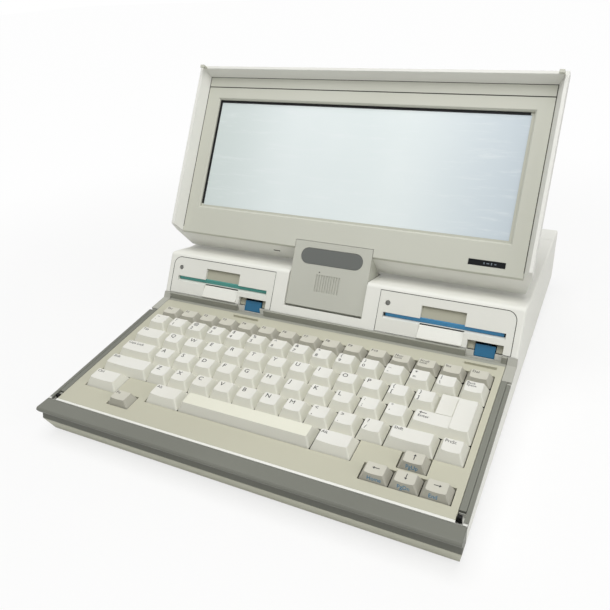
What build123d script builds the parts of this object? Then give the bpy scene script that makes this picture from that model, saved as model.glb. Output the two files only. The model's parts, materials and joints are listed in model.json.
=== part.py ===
from build123d import *
import os
from math import cos, radians, sin, tan

# Portable computer: a base with a sloping keyboard, a rear housing with two diskette
# drives, and a display lid that swings on one central neck between the drives.
# Millimetres. +X is the user's right, +Y points away from the user, +Z is up. The model
# is drawn with the handle's nose at y = 0 and moved back at the end, so that the origin
# is the centre of the footprint, on the surface that the feet stand on.

# Overall sizes
WIDTH = 310.0
DEPTH = 369.0
HALF = WIDTH / 2
FOOT_HEIGHT = 2.0
GAP = 0.3
SMALL = 0.05

# Base shell
FLOOR = 2.4
WALL = 2.4
SIDE_DRAFT = 2.0
DRAFT_HEIGHT = 13.0
LEDGE_DEPTH = 8.0
FRONT_WALL = 2.0
CHIN_BOTTOM_Y = 9.7
CHIN_TOP_Y = 3.5
CHIN_TOP_Z = 15.0
REAR_CHAMFER = 6.0

# Deck plane: it starts at the front ridge and rises to the back
RIDGE_Y = 14.6
RIDGE_Z = 27.4
DECK_SLOPE = 5.37
DECK_LENGTH = 139.8
DECK_BACK_Y = RIDGE_Y + DECK_LENGTH * cos(radians(DECK_SLOPE))
DECK_BACK_Z = RIDGE_Z + DECK_LENGTH * sin(radians(DECK_SLOPE))
STRIP_ROOM = 7.2
DECK_HALF = HALF - STRIP_ROOM
DECK_THICK = 2.4
DECK_RIB_S = DECK_LENGTH - 5.3
DECK_RIB_HEIGHT = 2.0
DECK_RIB_THICK = 1.2

# Dark strips beside the deck, in deck distances
STRIP_THICK = 2.0
STRIP_INNER_WIDTH = 4.0
STRIP_INNER_START = DECK_HALF + GAP
STRIP_OUTER_WIDTH = HALF - STRIP_INNER_START - STRIP_INNER_WIDTH - GAP
STRIP_END = DECK_LENGTH - 16.0
OUTER_STRIP_START = -2.0

# Latch recesses at the front corners and the sliders in them
RECESS_START = -1.9
RECESS_DEPTH = 5.5
RECESS_WIDTH = 4.4
SLIDER_START = 1.7
SLIDER_LENGTH = 2.2
SLIDER_WIDTH = 2.7
SLIDER_PROUD = 0.8
SLIDER_LIP = 2.9
SLIDER_TRAVEL = 3.0
STRIP_START = SLIDER_START + SLIDER_LENGTH + SLIDER_TRAVEL + 2 * GAP

# Handle across the front, and its two arms
HANDLE_TOP_Z = 27.2
HANDLE_NOSE_Z = 25.2
HANDLE_NOSE_RADIUS = 1.0
HANDLE_WAIST_Y = 4.5
HANDLE_WAIST_Z = 19.5
ARM_X = HALF - 30.0
ARM_WIDTH = 12.0
ARM_LOW_Z = 16.5
ARM_THICK = 4.5
HANDLE_TRAVEL = 38.0
ARM_HELD = 32.0
ARM_LENGTH = HANDLE_TRAVEL + ARM_HELD

# Keys, in deck distances
PITCH = 18.75
KEYS_LEFT = -138.2
KEYS_FRONT = 19.6
KEY_GAP = 0.25
KEY_SUNK = 1.0
SIDE_INSET = 3.05
FRONT_INSET = 3.85
BACK_INSET = 4.2
KEY_CORNER = 0.7
SCOOP = 0.5
HEIGHT_HOME = 6.2
HEIGHT_UPPER = 6.6
HEIGHT_NUMBER = 7.2
HEIGHT_SPACE = 5.8
HEIGHT_SMALL = 5.2
SMALL_DEPTH = 13.0
SMALL_INSET = 2.0
ARROWS_FRONT = 8.4
ARROW_UP_FRONT = 24.6
FUNCTION_FRONT = KEYS_FRONT + 5 * PITCH + 0.25
FN_LEFT = KEYS_LEFT + 30.4
KEY_TRAVEL = 2.5
STEM = 3.6
STEM_BELOW = 5.2
ENTER_STEP_HEIGHT = 3.0
PLATE_TOP = KEY_SUNK + KEY_TRAVEL + GAP
PLATE_THICK = 1.2

# Fascia plane: the front of the drives, leaning back
FASCIA_SETBACK = 5.713568
FASCIA_RISE = 5.416534
FASCIA_Y = DECK_BACK_Y + FASCIA_SETBACK
FASCIA_Z = DECK_BACK_Z + FASCIA_RISE
FASCIA_LEAN = 30.25
FASCIA_LENGTH = 32.64
FASCIA_CORNER = 36.0
FASCIA_CORNER_RADIUS = 4.0

# Rear housing and rear cover
SPLIT_Z = FASCIA_Z - 7.9
CREST_Y = FASCIA_Y + 46.2
CREST_Z = FASCIA_Z + 24.8
REAR_Z = CREST_Z - 6.6
HOUSING_WALL = 2.5
COVER_LENGTH = 31.0
COVER_Y = DEPTH - COVER_LENGTH
HOUSING_EDGE = 2.0
NECK_HALF = 34.0
BRACKET_INNER = NECK_HALF + 3.5
BRACKET_THICK = 4.4
PIN_HALF = BRACKET_INNER + BRACKET_THICK + 2.1
COLUMN_OUTER = PIN_HALF + 2.3
BEZEL_OUTER = HALF - 5.2
BEZEL_THICK = 3.4
BEZEL_CORNER = 7.0
BAND_HEIGHT = 7.0

# Drive fronts, on the fascia: each is given for its own side
SLOT_LOW = 11.2
SLOT_HIGH = 15.5
SLOT_OUTER = {"left": -(BEZEL_OUTER - 6.5), "right": BEZEL_OUTER - 5.8}
SLOT_LENGTH = {"left": 90.9, "right": 93.0}
SLOT_RANGE = {
    "left": (SLOT_OUTER["left"], SLOT_OUTER["left"] + SLOT_LENGTH["left"]),
    "right": (SLOT_OUTER["right"] - SLOT_LENGTH["right"], SLOT_OUTER["right"]),
}
LAMP_X = {"left": -(BEZEL_OUTER - 8.3), "right": COLUMN_OUTER + 7.3}
LAMP_UP = 23.2
LAMP_RADIUS = 2.0
THUMB_X = BEZEL_OUTER - 52.4
THUMB_CENTRE = {"left": -THUMB_X, "right": THUMB_X}
THUMB_WIDTH = 34.0
THUMB_TOP = 25.5
THUMB_DEPTH = 2.2
TONGUE_LOW = 0.3
TONGUE_OUT = 1.6
NOTCH_WIDTH = 26.0
NOTCH_LEFT = {"left": -COLUMN_OUTER - 5.2 - NOTCH_WIDTH, "right": BEZEL_OUTER - 5.8 - NOTCH_WIDTH}
NOTCH_RANGE = {name: (x, x + NOTCH_WIDTH) for name, x in NOTCH_LEFT.items()}
NOTCH_TOP = 6.7
BUTTON_RANGE = {
    "left": (NOTCH_LEFT["left"] + 5.7, NOTCH_LEFT["left"] + 21.0),
    "right": (NOTCH_LEFT["right"] + 5.9, NOTCH_LEFT["right"] + 20.5),
}
BUTTON_TOP = 5.0
BUTTON_LOW_Z = FASCIA_Z - 4.9
BUTTON_INSET = 2.7
BUTTON_TRAVEL = 3.0
BUTTON_PAD = 7.0
LEVER_LENGTH = 24.0

# Drives and diskettes
DRIVE_HALF_WIDTH = 49.5
DRIVE_FRONT = FASCIA_Y + 22.5
DRIVE_LENGTH = 118.0
DRIVE_LOW_Z = FASCIA_Z + 1.6
DRIVE_HIGH_Z = DRIVE_LOW_Z + 16.4
DISK_WIDTH = 90.0
DISK_LENGTH = 94.0
DISK_THICK = 3.3
DISK_FRONT = FASCIA_Y + 9.1
DISK_CORNER = 4.0

# Lid in its open position: rim plane through the lower rim corner
RIM_Y = FASCIA_Y + 23.8
RIM_Z = FASCIA_Z + 56.3
LID_TILT = 31.96
LID_LENGTH = 143.8
LID_THICK_LOW = 33.5
LID_THICK_TOP = 24.0
LID_CHAMFER = 13.7
LID_BACK_HALF = HALF - 5.5
LID_WALL = 2.4
LID_EDGE = 2.0
RIM_WIDTH = 2.6
RIM_TOP_WIDTH = 2.2
RECESS_DRAFT = 3.8
BEZEL_SET = 9.5
LID_BEZEL_THICK = 2.6
BEZEL_HALF = HALF - RIM_WIDTH - RECESS_DRAFT
BEZEL_HIGH = LID_LENGTH - RIM_TOP_WIDTH - RECESS_DRAFT
BEZEL_BACK = BEZEL_SET + LID_BEZEL_THICK
WINDOW_HALF = HALF - 19.4
WINDOW_LOW = 20.2
WINDOW_HIGH = 117.8
WINDOW_BEVEL = 1.2
GROOVE_AT = 128.3
GROOVE_WIDTH = 0.8
GROOVE_DEPTH = 0.5
SCREEN_BORDER = 2.0
SCREEN_THICK = 2.0
MODULE_THICK = 6.0
INDICATOR_RANGE = (WINDOW_HALF - 27.6, WINDOW_HALF - 0.6)
INDICATOR_LOW = 1.2
INDICATOR_HIGH = 5.6
INDICATOR_THICK = 1.2
HOOK_WIDTH = 3.6
HOOK_THICK = 1.3
HOOK_REACH = 5.6
HOOK_NOSE = 1.1
HOOK_NOSE_THICK = 1.2

# Neck between the drives, and the hinge through it
PIVOT_Y = FASCIA_Y + 24.7
PIVOT_Z = FASCIA_Z + 19.3
PIN_RADIUS = 3.0
PIN_FIT = 0.05
NECK_SIDE_GAP = 0.5
NECK_BOTTOM = 8.6
NECK_TOP = 62.4
NECK_INSET = 1.5
NECK_COVER_THICK = 3.0
NECK_SWEEP_RADIUS = 22.8
NECK_FOOT = [(PIVOT_Y - 4.5, PIVOT_Z - 22.4), (PIVOT_Y - 16.2, PIVOT_Z - 21.2)]
WELL_RADIUS = 23.9
BADGE_LENGTH = 54.0
BADGE_HEIGHT = 13.0
BADGE_UP = 50.5
BADGE_SET = 1.0
GRIP_COUNT = 10
GRIP_PITCH = 2.2
GRIP_LENGTH = 14.0
GRIP_UP = 22.0
GRIP_DEPTH = 0.6
BRACKET_EYE = 8.0

# Feet, screws and inner pieces
FOOT_RADIUS = 7.0
FOOT_X = HALF - 27.0
FOOT_SPOTS = [(x, y) for y in (34.0, DEPTH - 31.0) for x in (-FOOT_X, FOOT_X)]
SCREW_X = HALF - 15.0
SCREW_SPOTS = [(x, y) for y in (60.0, 180.0) for x in (-SCREW_X, SCREW_X)]
SCREW_SPOTS += [(-60.0, DEPTH - 24.0), (60.0, DEPTH - 24.0)]
SCREW_HEAD = 2.9
SCREW_HEAD_HEIGHT = 1.1
SCREW_SINK = 1.5
BOSS_Z = 14.0
BOARD_Z = 12.0
BOARD_THICK = 1.6
BOARD_HALF = HALF - 43.0
BOARD_Y = (RIDGE_Y + 19.4, FASCIA_Y - 13.5)
BOARD_MARGIN = 6.0
CHIPS = [(-60, 70, 26), (10, 90, 34), (66, 60, 20), (-20, 120, 22)]
CHIP_HEIGHT = 2.5
BATTERY_HALF = 50.0
BATTERY_HEIGHT = 24.0
BATTERY_Y = (PIVOT_Y + 33.8, COVER_Y - 8.0)
RAIL_SPOTS = (COLUMN_OUTER + 13.7, BEZEL_OUTER - 11.8)
RAIL_WIDTH = 4.0
RAIL_SETBACK = LEVER_LENGTH - (DRIVE_FRONT - FASCIA_Y) + BUTTON_TRAVEL + 5

SIDES = {"left": -1, "right": 1}
WORLD = Plane.XY
DECK = Plane(
    origin=(0, RIDGE_Y, RIDGE_Z),
    x_dir=(1, 0, 0),
    z_dir=(0, -sin(radians(DECK_SLOPE)), cos(radians(DECK_SLOPE))),
)
FASCIA = Plane(
    origin=(0, FASCIA_Y, FASCIA_Z),
    x_dir=(1, 0, 0),
    z_dir=(0, -cos(radians(FASCIA_LEAN)), sin(radians(FASCIA_LEAN))),
)
LID = Plane(
    origin=(0, RIM_Y, RIM_Z),
    x_dir=(1, 0, 0),
    z_dir=(0, -cos(radians(LID_TILT)), sin(radians(LID_TILT))),
)


def spot(plane, along, out):
    """World (y, z) of a point at a distance along a plane and out of it."""
    point = plane.from_local_coords(Vector(0, along, out))
    return (point.Y, point.Z)


def block(plane, x_range, along, out):
    """Block whose faces follow a plane's own directions."""
    size = (x_range[1] - x_range[0], along[1] - along[0], out[1] - out[0])
    centre = (sum(x_range) / 2, sum(along) / 2, sum(out) / 2)
    return plane * Pos(*centre) * Box(*size)


def side_prism(points, x_range):
    """Solid with a side outline of (y, z) points, running across from x to x."""
    outline = Plane.YZ * Polygon(*points, align=None)
    return Pos(x_range[0], 0, 0) * extrude(outline, amount=x_range[1] - x_range[0], dir=(1, 0, 0))


def front_prism(points, y_range):
    """Solid with a front outline of (x, z) points, running back from y to y."""
    outline = Polygon(*points, align=None)
    solid = extrude(outline, amount=y_range[1] - y_range[0], dir=(0, 0, 1))
    return Pos(0, y_range[0], 0) * Location((0, 0, 0), (-90, 0, 0)) * mirror(solid, about=Plane.XZ)


def rod(radius, x_range, y, z):
    """Round bar along X."""
    length = x_range[1] - x_range[0]
    centre = (sum(x_range) / 2, y, z)
    return Pos(*centre) * Rot(0, 90, 0) * Cylinder(radius, length)


def both(low, high, side):
    """Range of x on one side of the middle."""
    return tuple(sorted((side * low, side * high)))


DISK_Z = spot(FASCIA, (SLOT_LOW + SLOT_HIGH) / 2, 0)[1]


def edges_across(solid, y, z):
    """Edge along X that is nearest to a point of the side outline."""
    across = solid.edges().filter_by(Axis.X)
    return across.sort_by(lambda edge: (edge.center().Y - y) ** 2 + (edge.center().Z - z) ** 2)[0]


# Handle


def handle():
    """Full-width bar with a concave lower front, on two flat arms."""
    back = RIDGE_Y - FRONT_WALL - GAP
    body = side_prism(
        [
            (back, HANDLE_TOP_Z),
            (1.2, HANDLE_TOP_Z - 0.4),
            (0, HANDLE_NOSE_Z),
            (1.5, 22.5),
            (HANDLE_WAIST_Y - 0.6, 20.6),
            (HANDLE_WAIST_Y, HANDLE_WAIST_Z),
            (CHIN_TOP_Y, CHIN_TOP_Z + GAP),
            (back, CHIN_TOP_Z + GAP),
        ],
        (-HALF, HALF),
    )
    body = fillet(edges_across(body, 1.2, HANDLE_TOP_Z - 0.4), HANDLE_NOSE_RADIUS)
    body = fillet(edges_across(body, 0, HANDLE_NOSE_Z), HANDLE_NOSE_RADIUS)
    for side in SIDES.values():
        x_range = both(ARM_X - ARM_WIDTH / 2, ARM_X + ARM_WIDTH / 2, side)
        arm = block(WORLD, x_range, (back - 1, back + ARM_LENGTH), (ARM_LOW_Z, ARM_LOW_Z + ARM_THICK))
        body += arm
    return body


# Base


def outer_strips():
    """Thin strips along both outer edges of the deck."""
    shapes = []
    for side in SIDES.values():
        x_range = both(HALF - STRIP_OUTER_WIDTH, HALF, side)
        shapes.append(block(DECK, x_range, (OUTER_STRIP_START, STRIP_END - 2.5), (-STRIP_THICK, 0)))
    return shapes


def inner_strips():
    """Strips between the deck and the outer strips."""
    shapes = []
    for side in SIDES.values():
        x_range = both(STRIP_INNER_START, STRIP_INNER_START + STRIP_INNER_WIDTH, side)
        shapes.append(block(DECK, x_range, (STRIP_START, STRIP_END), (-STRIP_THICK, 0)))
    return shapes


def side_blocks():
    """Blocks behind the strips, which rise to the foot of the fascia."""
    start = STRIP_END + GAP
    rear = FASCIA_Y - GAP
    outline = [
        spot(DECK, start, -STRIP_THICK),
        spot(DECK, start, 0),
        spot(DECK, DECK_LENGTH, 0),
        (FASCIA_Y - 3.5, spot(DECK, DECK_LENGTH, 0)[1] + 0.2),
        (rear, FASCIA_Z - 0.4),
        (rear, SPLIT_Z),
        (spot(DECK, DECK_LENGTH, -STRIP_THICK)[0], SPLIT_Z),
        spot(DECK, DECK_LENGTH, -STRIP_THICK),
    ]
    return [side_prism(outline, both(STRIP_INNER_START, HALF, side)) for side in SIDES.values()]


def latch_recess(side):
    """Space of one latch recess."""
    x_range = both(DECK_HALF + 0.2, DECK_HALF + 0.2 + RECESS_WIDTH, side)
    return block(DECK, x_range, (RECESS_START, STRIP_START - GAP), (-RECESS_DEPTH, 5))


def base_shell():
    """Open tub with the chin, the front wall, the side ledges, rails and posts."""
    front_y = RIDGE_Y - FRONT_WALL
    outline = [
        (CHIN_BOTTOM_Y, FOOT_HEIGHT),
        (CHIN_TOP_Y, CHIN_TOP_Z),
        (front_y, CHIN_TOP_Z),
        (front_y, RIDGE_Z),
        (RIDGE_Y, RIDGE_Z),
        spot(DECK, 0, -STRIP_THICK),
        spot(DECK, DECK_LENGTH, -STRIP_THICK),
        (spot(DECK, DECK_LENGTH, -STRIP_THICK)[0], SPLIT_Z),
        (DEPTH, SPLIT_Z),
        (DEPTH, FOOT_HEIGHT + REAR_CHAMFER),
        (DEPTH - REAR_CHAMFER, FOOT_HEIGHT),
    ]
    low = HALF - SIDE_DRAFT
    front_outline = [
        (-low, FOOT_HEIGHT),
        (-HALF, FOOT_HEIGHT + DRAFT_HEIGHT),
        (-HALF, 60),
        (HALF, 60),
        (HALF, FOOT_HEIGHT + DRAFT_HEIGHT),
        (low, FOOT_HEIGHT),
    ]
    shell = side_prism(outline, (-HALF, HALF)) & front_prism(front_outline, (-10, DEPTH + 10))
    inner = FOOT_HEIGHT + FLOOR
    open_half = DECK_HALF + 0.2
    shell -= block(WORLD, (-open_half, open_half), (RIDGE_Y, DEPTH - WALL), (inner, 60))
    wide = HALF - SIDE_DRAFT - 0.6
    under_ledge = side_prism(
        [
            (RIDGE_Y, inner),
            (RIDGE_Y, spot(DECK, 0, -LEDGE_DEPTH)[1]),
            spot(DECK, DECK_LENGTH, -LEDGE_DEPTH),
            (DEPTH - WALL, SPLIT_Z - 3),
            (DEPTH - WALL, inner),
        ],
        (-wide, wide),
    )
    shell -= under_ledge
    back = front_y + ARM_LENGTH + 20
    for side in SIDES.values():
        shell -= latch_recess(side)
        slot_range = both(ARM_X - ARM_WIDTH / 2 - GAP, ARM_X + ARM_WIDTH / 2 + GAP, side)
        slot_height = (ARM_LOW_Z - GAP, ARM_LOW_Z + ARM_THICK + GAP)
        shell -= block(WORLD, slot_range, (front_y - 5, RIDGE_Y + 1), slot_height)
        shell += block(WORLD, slot_range, (RIDGE_Y, back), (inner - SMALL, ARM_LOW_Z - GAP))
        post = both(BRACKET_INNER - 1.5, BRACKET_INNER + BRACKET_THICK + 1.5, side)
        reach = BRACKET_EYE + 2
        shell += block(WORLD, post, (PIVOT_Y - reach, PIVOT_Y + reach), (inner - SMALL, SPLIT_Z))
        for rail in RAIL_SPOTS:
            x_range = both(rail, rail + RAIL_WIDTH, side)
            rail_y = (DRIVE_FRONT + RAIL_SETBACK, DRIVE_FRONT + DRIVE_LENGTH - RAIL_SETBACK)
            shell += block(WORLD, x_range, rail_y, (inner - SMALL, DRIVE_LOW_Z))
        board_post = both(BOARD_HALF - 2 * BOARD_MARGIN, BOARD_HALF - BOARD_MARGIN, side)
        post_y = (BOARD_Y[0] + BOARD_MARGIN, BOARD_Y[1] - BOARD_MARGIN)
        shell += block(WORLD, board_post, post_y, (inner - SMALL, BOARD_Z))
    for strip in outer_strips():
        shell -= strip
    for x, y in SCREW_SPOTS:
        reach = SCREW_HEAD + 1.6
        shell += block(WORLD, (x - reach, x + reach), (y - reach, y + reach), (inner - SMALL, BOSS_Z))
        sink = Pos(x, y, FOOT_HEIGHT + SCREW_SINK / 2) * Cylinder(SCREW_HEAD + 0.2, SCREW_SINK)
        shell -= sink
    return shell


def feet():
    """Four round rubber feet."""
    shapes = []
    for x, y in FOOT_SPOTS:
        shapes.append(Pos(x, y, FOOT_HEIGHT / 2) * Cylinder(FOOT_RADIUS, FOOT_HEIGHT))
    return shapes


def case_screws():
    """Screws sunk in the underside."""
    shapes = []
    top = FOOT_HEIGHT + SCREW_SINK
    for x, y in SCREW_SPOTS:
        head = Pos(x, y, top - SCREW_HEAD_HEIGHT / 2) * Cylinder(SCREW_HEAD, SCREW_HEAD_HEIGHT)
        shapes.append(head)
    return shapes


def main_board():
    """Circuit board on its two long posts, under the keyboard."""
    top = BOARD_Z + BOARD_THICK
    board = block(WORLD, (-BOARD_HALF, BOARD_HALF), BOARD_Y, (BOARD_Z, top))
    for x, y, size in CHIPS:
        x_range = (x - size / 2, x + size / 2)
        board += block(WORLD, x_range, (y - size / 2, y + size / 2), (top - SMALL, top + CHIP_HEIGHT))
    return board


def battery_pack():
    """Battery on the floor behind the hinge."""
    floor = FOOT_HEIGHT + FLOOR
    pack = block(WORLD, (-BATTERY_HALF, BATTERY_HALF), BATTERY_Y, (floor, floor + BATTERY_HEIGHT))
    return fillet(pack.edges().filter_by(Axis.Y), 2)


def latch_slider(side):
    """Thumb slider with an undercut that holds the lid's hook."""
    x_range = both(DECK_HALF + 0.2 + GAP, DECK_HALF + 0.2 + GAP + SLIDER_WIDTH, side)
    end = SLIDER_START + SLIDER_LENGTH
    slider = block(DECK, x_range, (SLIDER_START, end), (-SLIDER_LIP, SLIDER_PROUD))
    floor = -RECESS_DEPTH + GAP
    slider += block(DECK, x_range, (end - 1.0, end), (floor, -SLIDER_LIP + SMALL))
    return slider


# Keyboard


def key_x(units):
    """Left edge of a key that starts this many key widths into the block."""
    return KEYS_LEFT + units * PITCH


def row_front(row):
    """Front edge of a row, where row 5 is the space bar's."""
    return KEYS_FRONT + (5 - row) * PITCH


# Cells of the keys that have a node of their own: x range, front and depth, height
SINGLE_KEYS = {
    "key_tab": (key_x(0), key_x(1.5), row_front(2), PITCH, HEIGHT_UPPER),
    "key_caps": (key_x(0), key_x(1.75), row_front(3), PITCH, HEIGHT_HOME),
    "key_shift_left": (key_x(0), key_x(2.25), row_front(4), PITCH, HEIGHT_HOME),
    "key_shift_right": (key_x(12.25), key_x(14), row_front(4), PITCH, HEIGHT_HOME),
    "key_print": (key_x(14), key_x(15), row_front(4), PITCH, HEIGHT_HOME),
    "key_ctrl": (key_x(0), key_x(1.5), row_front(5), PITCH, HEIGHT_SPACE),
    "key_alt_left": (key_x(3), key_x(4.5), row_front(5), PITCH, HEIGHT_SPACE),
    "key_space": (key_x(4.5), key_x(10), row_front(5), PITCH, HEIGHT_SPACE),
    "key_alt_right": (key_x(10), key_x(11.5), row_front(5), PITCH, HEIGHT_SPACE),
    "key_fn": (FN_LEFT, FN_LEFT + PITCH, ARROWS_FRONT, SMALL_DEPTH, HEIGHT_SMALL),
    "key_arrow_left": (key_x(12), key_x(13), ARROWS_FRONT, SMALL_DEPTH, HEIGHT_SMALL),
    "key_arrow_down": (key_x(13), key_x(14), ARROWS_FRONT, SMALL_DEPTH, HEIGHT_SMALL),
    "key_arrow_right": (key_x(14), key_x(15), ARROWS_FRONT, SMALL_DEPTH, HEIGHT_SMALL),
    "key_arrow_up": (key_x(13), key_x(14), ARROW_UP_FRONT, SMALL_DEPTH, HEIGHT_SMALL),
}

# Rows of equal keys: first key, number of keys, front and depth, height
KEY_ROWS = {
    "keys_function": (0, 15, FUNCTION_FRONT, SMALL_DEPTH, HEIGHT_SMALL),
    "keys_number": (0, 15, row_front(1), PITCH, HEIGHT_NUMBER),
    "keys_upper": (1.5, 12, row_front(2), PITCH, HEIGHT_UPPER),
    "keys_home": (1.75, 11, row_front(3), PITCH, HEIGHT_HOME),
    "keys_lower": (2.25, 10, row_front(4), PITCH, HEIGHT_HOME),
}
ENTER_LOWER = 12.75
ENTER_UPPER = 13.5
ENTER_TALL = 14.0
KEYS_END = 15.0


def row_cells(name):
    """Cells of a row of equal keys."""
    first, count, front, depth, height = KEY_ROWS[name]
    return [(key_x(first + i), key_x(first + i + 1), front, depth, height) for i in range(count)]


def keycap(width, depth, height):
    """Cap with sloping sides and a scooped top, from its cell's front left corner."""
    small = depth < PITCH
    front, back = (SMALL_INSET, SMALL_INSET) if small else (FRONT_INSET, BACK_INSET)
    low = -KEY_SUNK
    inset = KEY_GAP + SIDE_INSET
    across = [(KEY_GAP, low), (width - KEY_GAP, low), (width - inset, height), (inset, height)]
    along = [(KEY_GAP, low), (depth - KEY_GAP, low), (depth - KEY_GAP - back, height)]
    along.append((KEY_GAP + front, height))
    across_face = Plane.XZ * Polygon(*across, align=None)
    cap = extrude(across_face, amount=depth, dir=(0, 1, 0)) & side_prism(along, (0, width))
    slanting = [edge for edge in cap.edges() if abs(edge.tangent_at(0.5).Z) > 0.3]
    cap = chamfer(slanting, KEY_CORNER)
    if width < 3 * PITCH:
        top_width = width - 2 * inset
        radius = (top_width**2 / 4 + SCOOP**2) / (2 * SCOOP)
        scoop = Pos(width / 2, depth / 2, height + radius - SCOOP) * Rot(90, 0, 0)
        cap -= scoop * Cylinder(radius, depth * 2)
    return cap


def stem(x, along):
    """Stem under a cap, which runs in the key plate."""
    half = STEM / 2
    low = -STEM_BELOW
    return block(WORLD, (x - half, x + half), (along - half, along + half), (low, -KEY_SUNK + SMALL))


def key(cell):
    """One key in its place on the deck."""
    left, right, front, depth, height = cell
    cap = Pos(left, front, 0) * keycap(right - left, depth, height)
    return DECK * (cap + stem((left + right) / 2, front + depth / 2))


def key_enter():
    """Enter key: a wide lower part, a tall right part and a low step beside it."""
    lower_width = (KEYS_END - ENTER_LOWER) * PITCH
    tall_width = (KEYS_END - ENTER_TALL) * PITCH
    step_range = (key_x(ENTER_UPPER) + KEY_GAP, key_x(ENTER_TALL) + SIDE_INSET)
    body = Pos(key_x(ENTER_LOWER), row_front(3), 0) * keycap(lower_width, PITCH, HEIGHT_HOME)
    body += Pos(key_x(ENTER_TALL), row_front(3), 0) * keycap(tall_width, 2 * PITCH, HEIGHT_UPPER)
    back = row_front(2) + PITCH - KEY_GAP
    body += block(WORLD, step_range, (row_front(2) - 1, back), (-KEY_SUNK, ENTER_STEP_HEIGHT))
    body += stem(key_x((ENTER_TALL + KEYS_END) / 2), row_front(2))
    return DECK * body


def all_cells():
    """Every cell of the keyboard apart from the Enter key's."""
    cells = list(SINGLE_KEYS.values())
    for name in KEY_ROWS:
        cells += row_cells(name)
    return cells


def cell_rectangle(cell, margin):
    """Flat rectangle of a cell, grown by a margin."""
    left, right, front, depth, height = cell
    shape = Rectangle(right - left + 2 * margin, depth + 2 * margin)
    return Pos((left + right) / 2, front + depth / 2) * shape


def keyboard_deck():
    """Deck plate with the key openings, a flange under them and two ribs."""
    plate = Pos(0, DECK_LENGTH / 2) * Rectangle(2 * DECK_HALF, DECK_LENGTH)
    openings = Sketch()
    flange = Sketch()
    main = (key_x(0), key_x(KEYS_END), row_front(4), 5 * PITCH + SMALL_DEPTH - PITCH + 0.25, 0)
    ends = [SINGLE_KEYS["key_alt_left"], SINGLE_KEYS["key_alt_right"]]
    space = (ends[0][0], ends[1][1], row_front(5), PITCH, 0)
    arrows = (key_x(12), key_x(15), ARROWS_FRONT, SMALL_DEPTH, 0)
    cells = [main, space, arrows]
    cells += [SINGLE_KEYS[name] for name in ("key_ctrl", "key_fn", "key_arrow_up")]
    for cell in cells:
        openings += cell_rectangle(cell, GAP)
        flange += cell_rectangle(cell, GAP + 1.6)
    top = extrude(plate - openings, amount=-DECK_THICK)
    under = Pos(0, 0, -DECK_THICK) * extrude(flange - openings, amount=-(PLATE_TOP - DECK_THICK))
    deck = DECK * (top + under)
    for name in SIDES:
        low, high = BUTTON_RANGE[name]
        rib_s = (DECK_RIB_S, DECK_RIB_S + DECK_RIB_THICK)
        deck += block(DECK, (low - 4, high + 4), rib_s, (-SMALL, DECK_RIB_HEIGHT))
    return deck


def key_plate():
    """Steel plate with a guide hole for the stem of each key."""
    front = ARROWS_FRONT - 2
    depth = FUNCTION_FRONT + SMALL_DEPTH + 3 - front
    plate = cell_rectangle((KEYS_LEFT - 3, key_x(KEYS_END) + 3, front, depth, 0), 0)
    holes = Sketch()
    side = STEM + 2 * GAP
    for left, right, front, depth, height in all_cells():
        holes += Pos((left + right) / 2, front + depth / 2) * Rectangle(side, side)
    holes += Pos(key_x((ENTER_TALL + KEYS_END) / 2), row_front(2)) * Rectangle(side, side)
    return DECK * Pos(0, 0, -PLATE_TOP) * extrude(plate - holes, amount=-PLATE_THICK)


# Rear housing and drives


def recess_wall():
    """Low wall between the deck and the foot of the drives."""
    front = spot(DECK, DECK_LENGTH, -DECK_THICK)[0] + GAP
    top = spot(DECK, DECK_LENGTH, 0)[1]
    rear = FASCIA_Y - GAP
    outline = [
        (front, SPLIT_Z),
        (front, top - GAP),
        (rear - 2.1, top),
        (rear - 2.1, FASCIA_Z - GAP),
        (rear, FASCIA_Z - GAP),
        (rear, SPLIT_Z),
    ]
    wall = side_prism(outline, (-DECK_HALF, DECK_HALF))
    for name in SIDES:
        wall -= block(WORLD, NOTCH_RANGE[name], (rear - 3, rear + 1), (top + 0.2, FASCIA_Z + 1))
    return wall


def housing_top(y):
    """Height of the housing's top behind the crest."""
    return CREST_Z + (REAR_Z - CREST_Z) * (y - CREST_Y) / (DEPTH - CREST_Y)


def housing_outline():
    """Side outline of the housing and the rear cover together."""
    return [
        (FASCIA_Y, SPLIT_Z),
        (FASCIA_Y, FASCIA_Z),
        spot(FASCIA, FASCIA_CORNER, 0),
        (CREST_Y, CREST_Z),
        (DEPTH, REAR_Z),
        (DEPTH, SPLIT_Z),
    ]


def housing_blank():
    """Full outer form of the housing, rounded along its upper edges."""
    blank = side_prism(housing_outline(), (-HALF, HALF))
    corner = spot(FASCIA, FASCIA_CORNER, 0)
    blank = fillet(edges_across(blank, *corner), FASCIA_CORNER_RADIUS)
    blank = fillet(edges_across(blank, DEPTH, REAR_Z), 3)
    top_z = FASCIA_Z + 15
    sides = [e for e in blank.edges() if abs(abs(e.center().X) - HALF) < 0.01 and e.center().Z > top_z]
    sides = [e for e in sides if abs(e.tangent_at(0.5).Z) < 0.5]
    return fillet(sides, HOUSING_EDGE)


def bezel_blank(name, grow):
    """Plate of one drive front, in the fascia, with its outer top corner rounded."""
    side = SIDES[name]
    x_range = both(COLUMN_OUTER + GAP - grow, BEZEL_OUTER - GAP + grow, side)
    along = (GAP - grow, FASCIA_LENGTH - GAP + grow)
    plate = block(FASCIA, x_range, along, (-BEZEL_THICK, 0))
    outer = x_range[0] if side < 0 else x_range[1]
    corner_y = spot(FASCIA, along[1], 0)
    edges = plate.edges().filter_by(lambda e: abs(e.center().X - outer) < 0.01)
    edges = edges.filter_by(lambda e: abs(e.tangent_at(0.5).X) < 0.01)
    edges = edges.sort_by(lambda e: (e.center().Y - corner_y[0]) ** 2 + (e.center().Z - corner_y[1]) ** 2)
    across = [e for e in edges if e.length < BEZEL_THICK + 0.01]
    return fillet(across[0], BEZEL_CORNER + grow)


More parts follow.
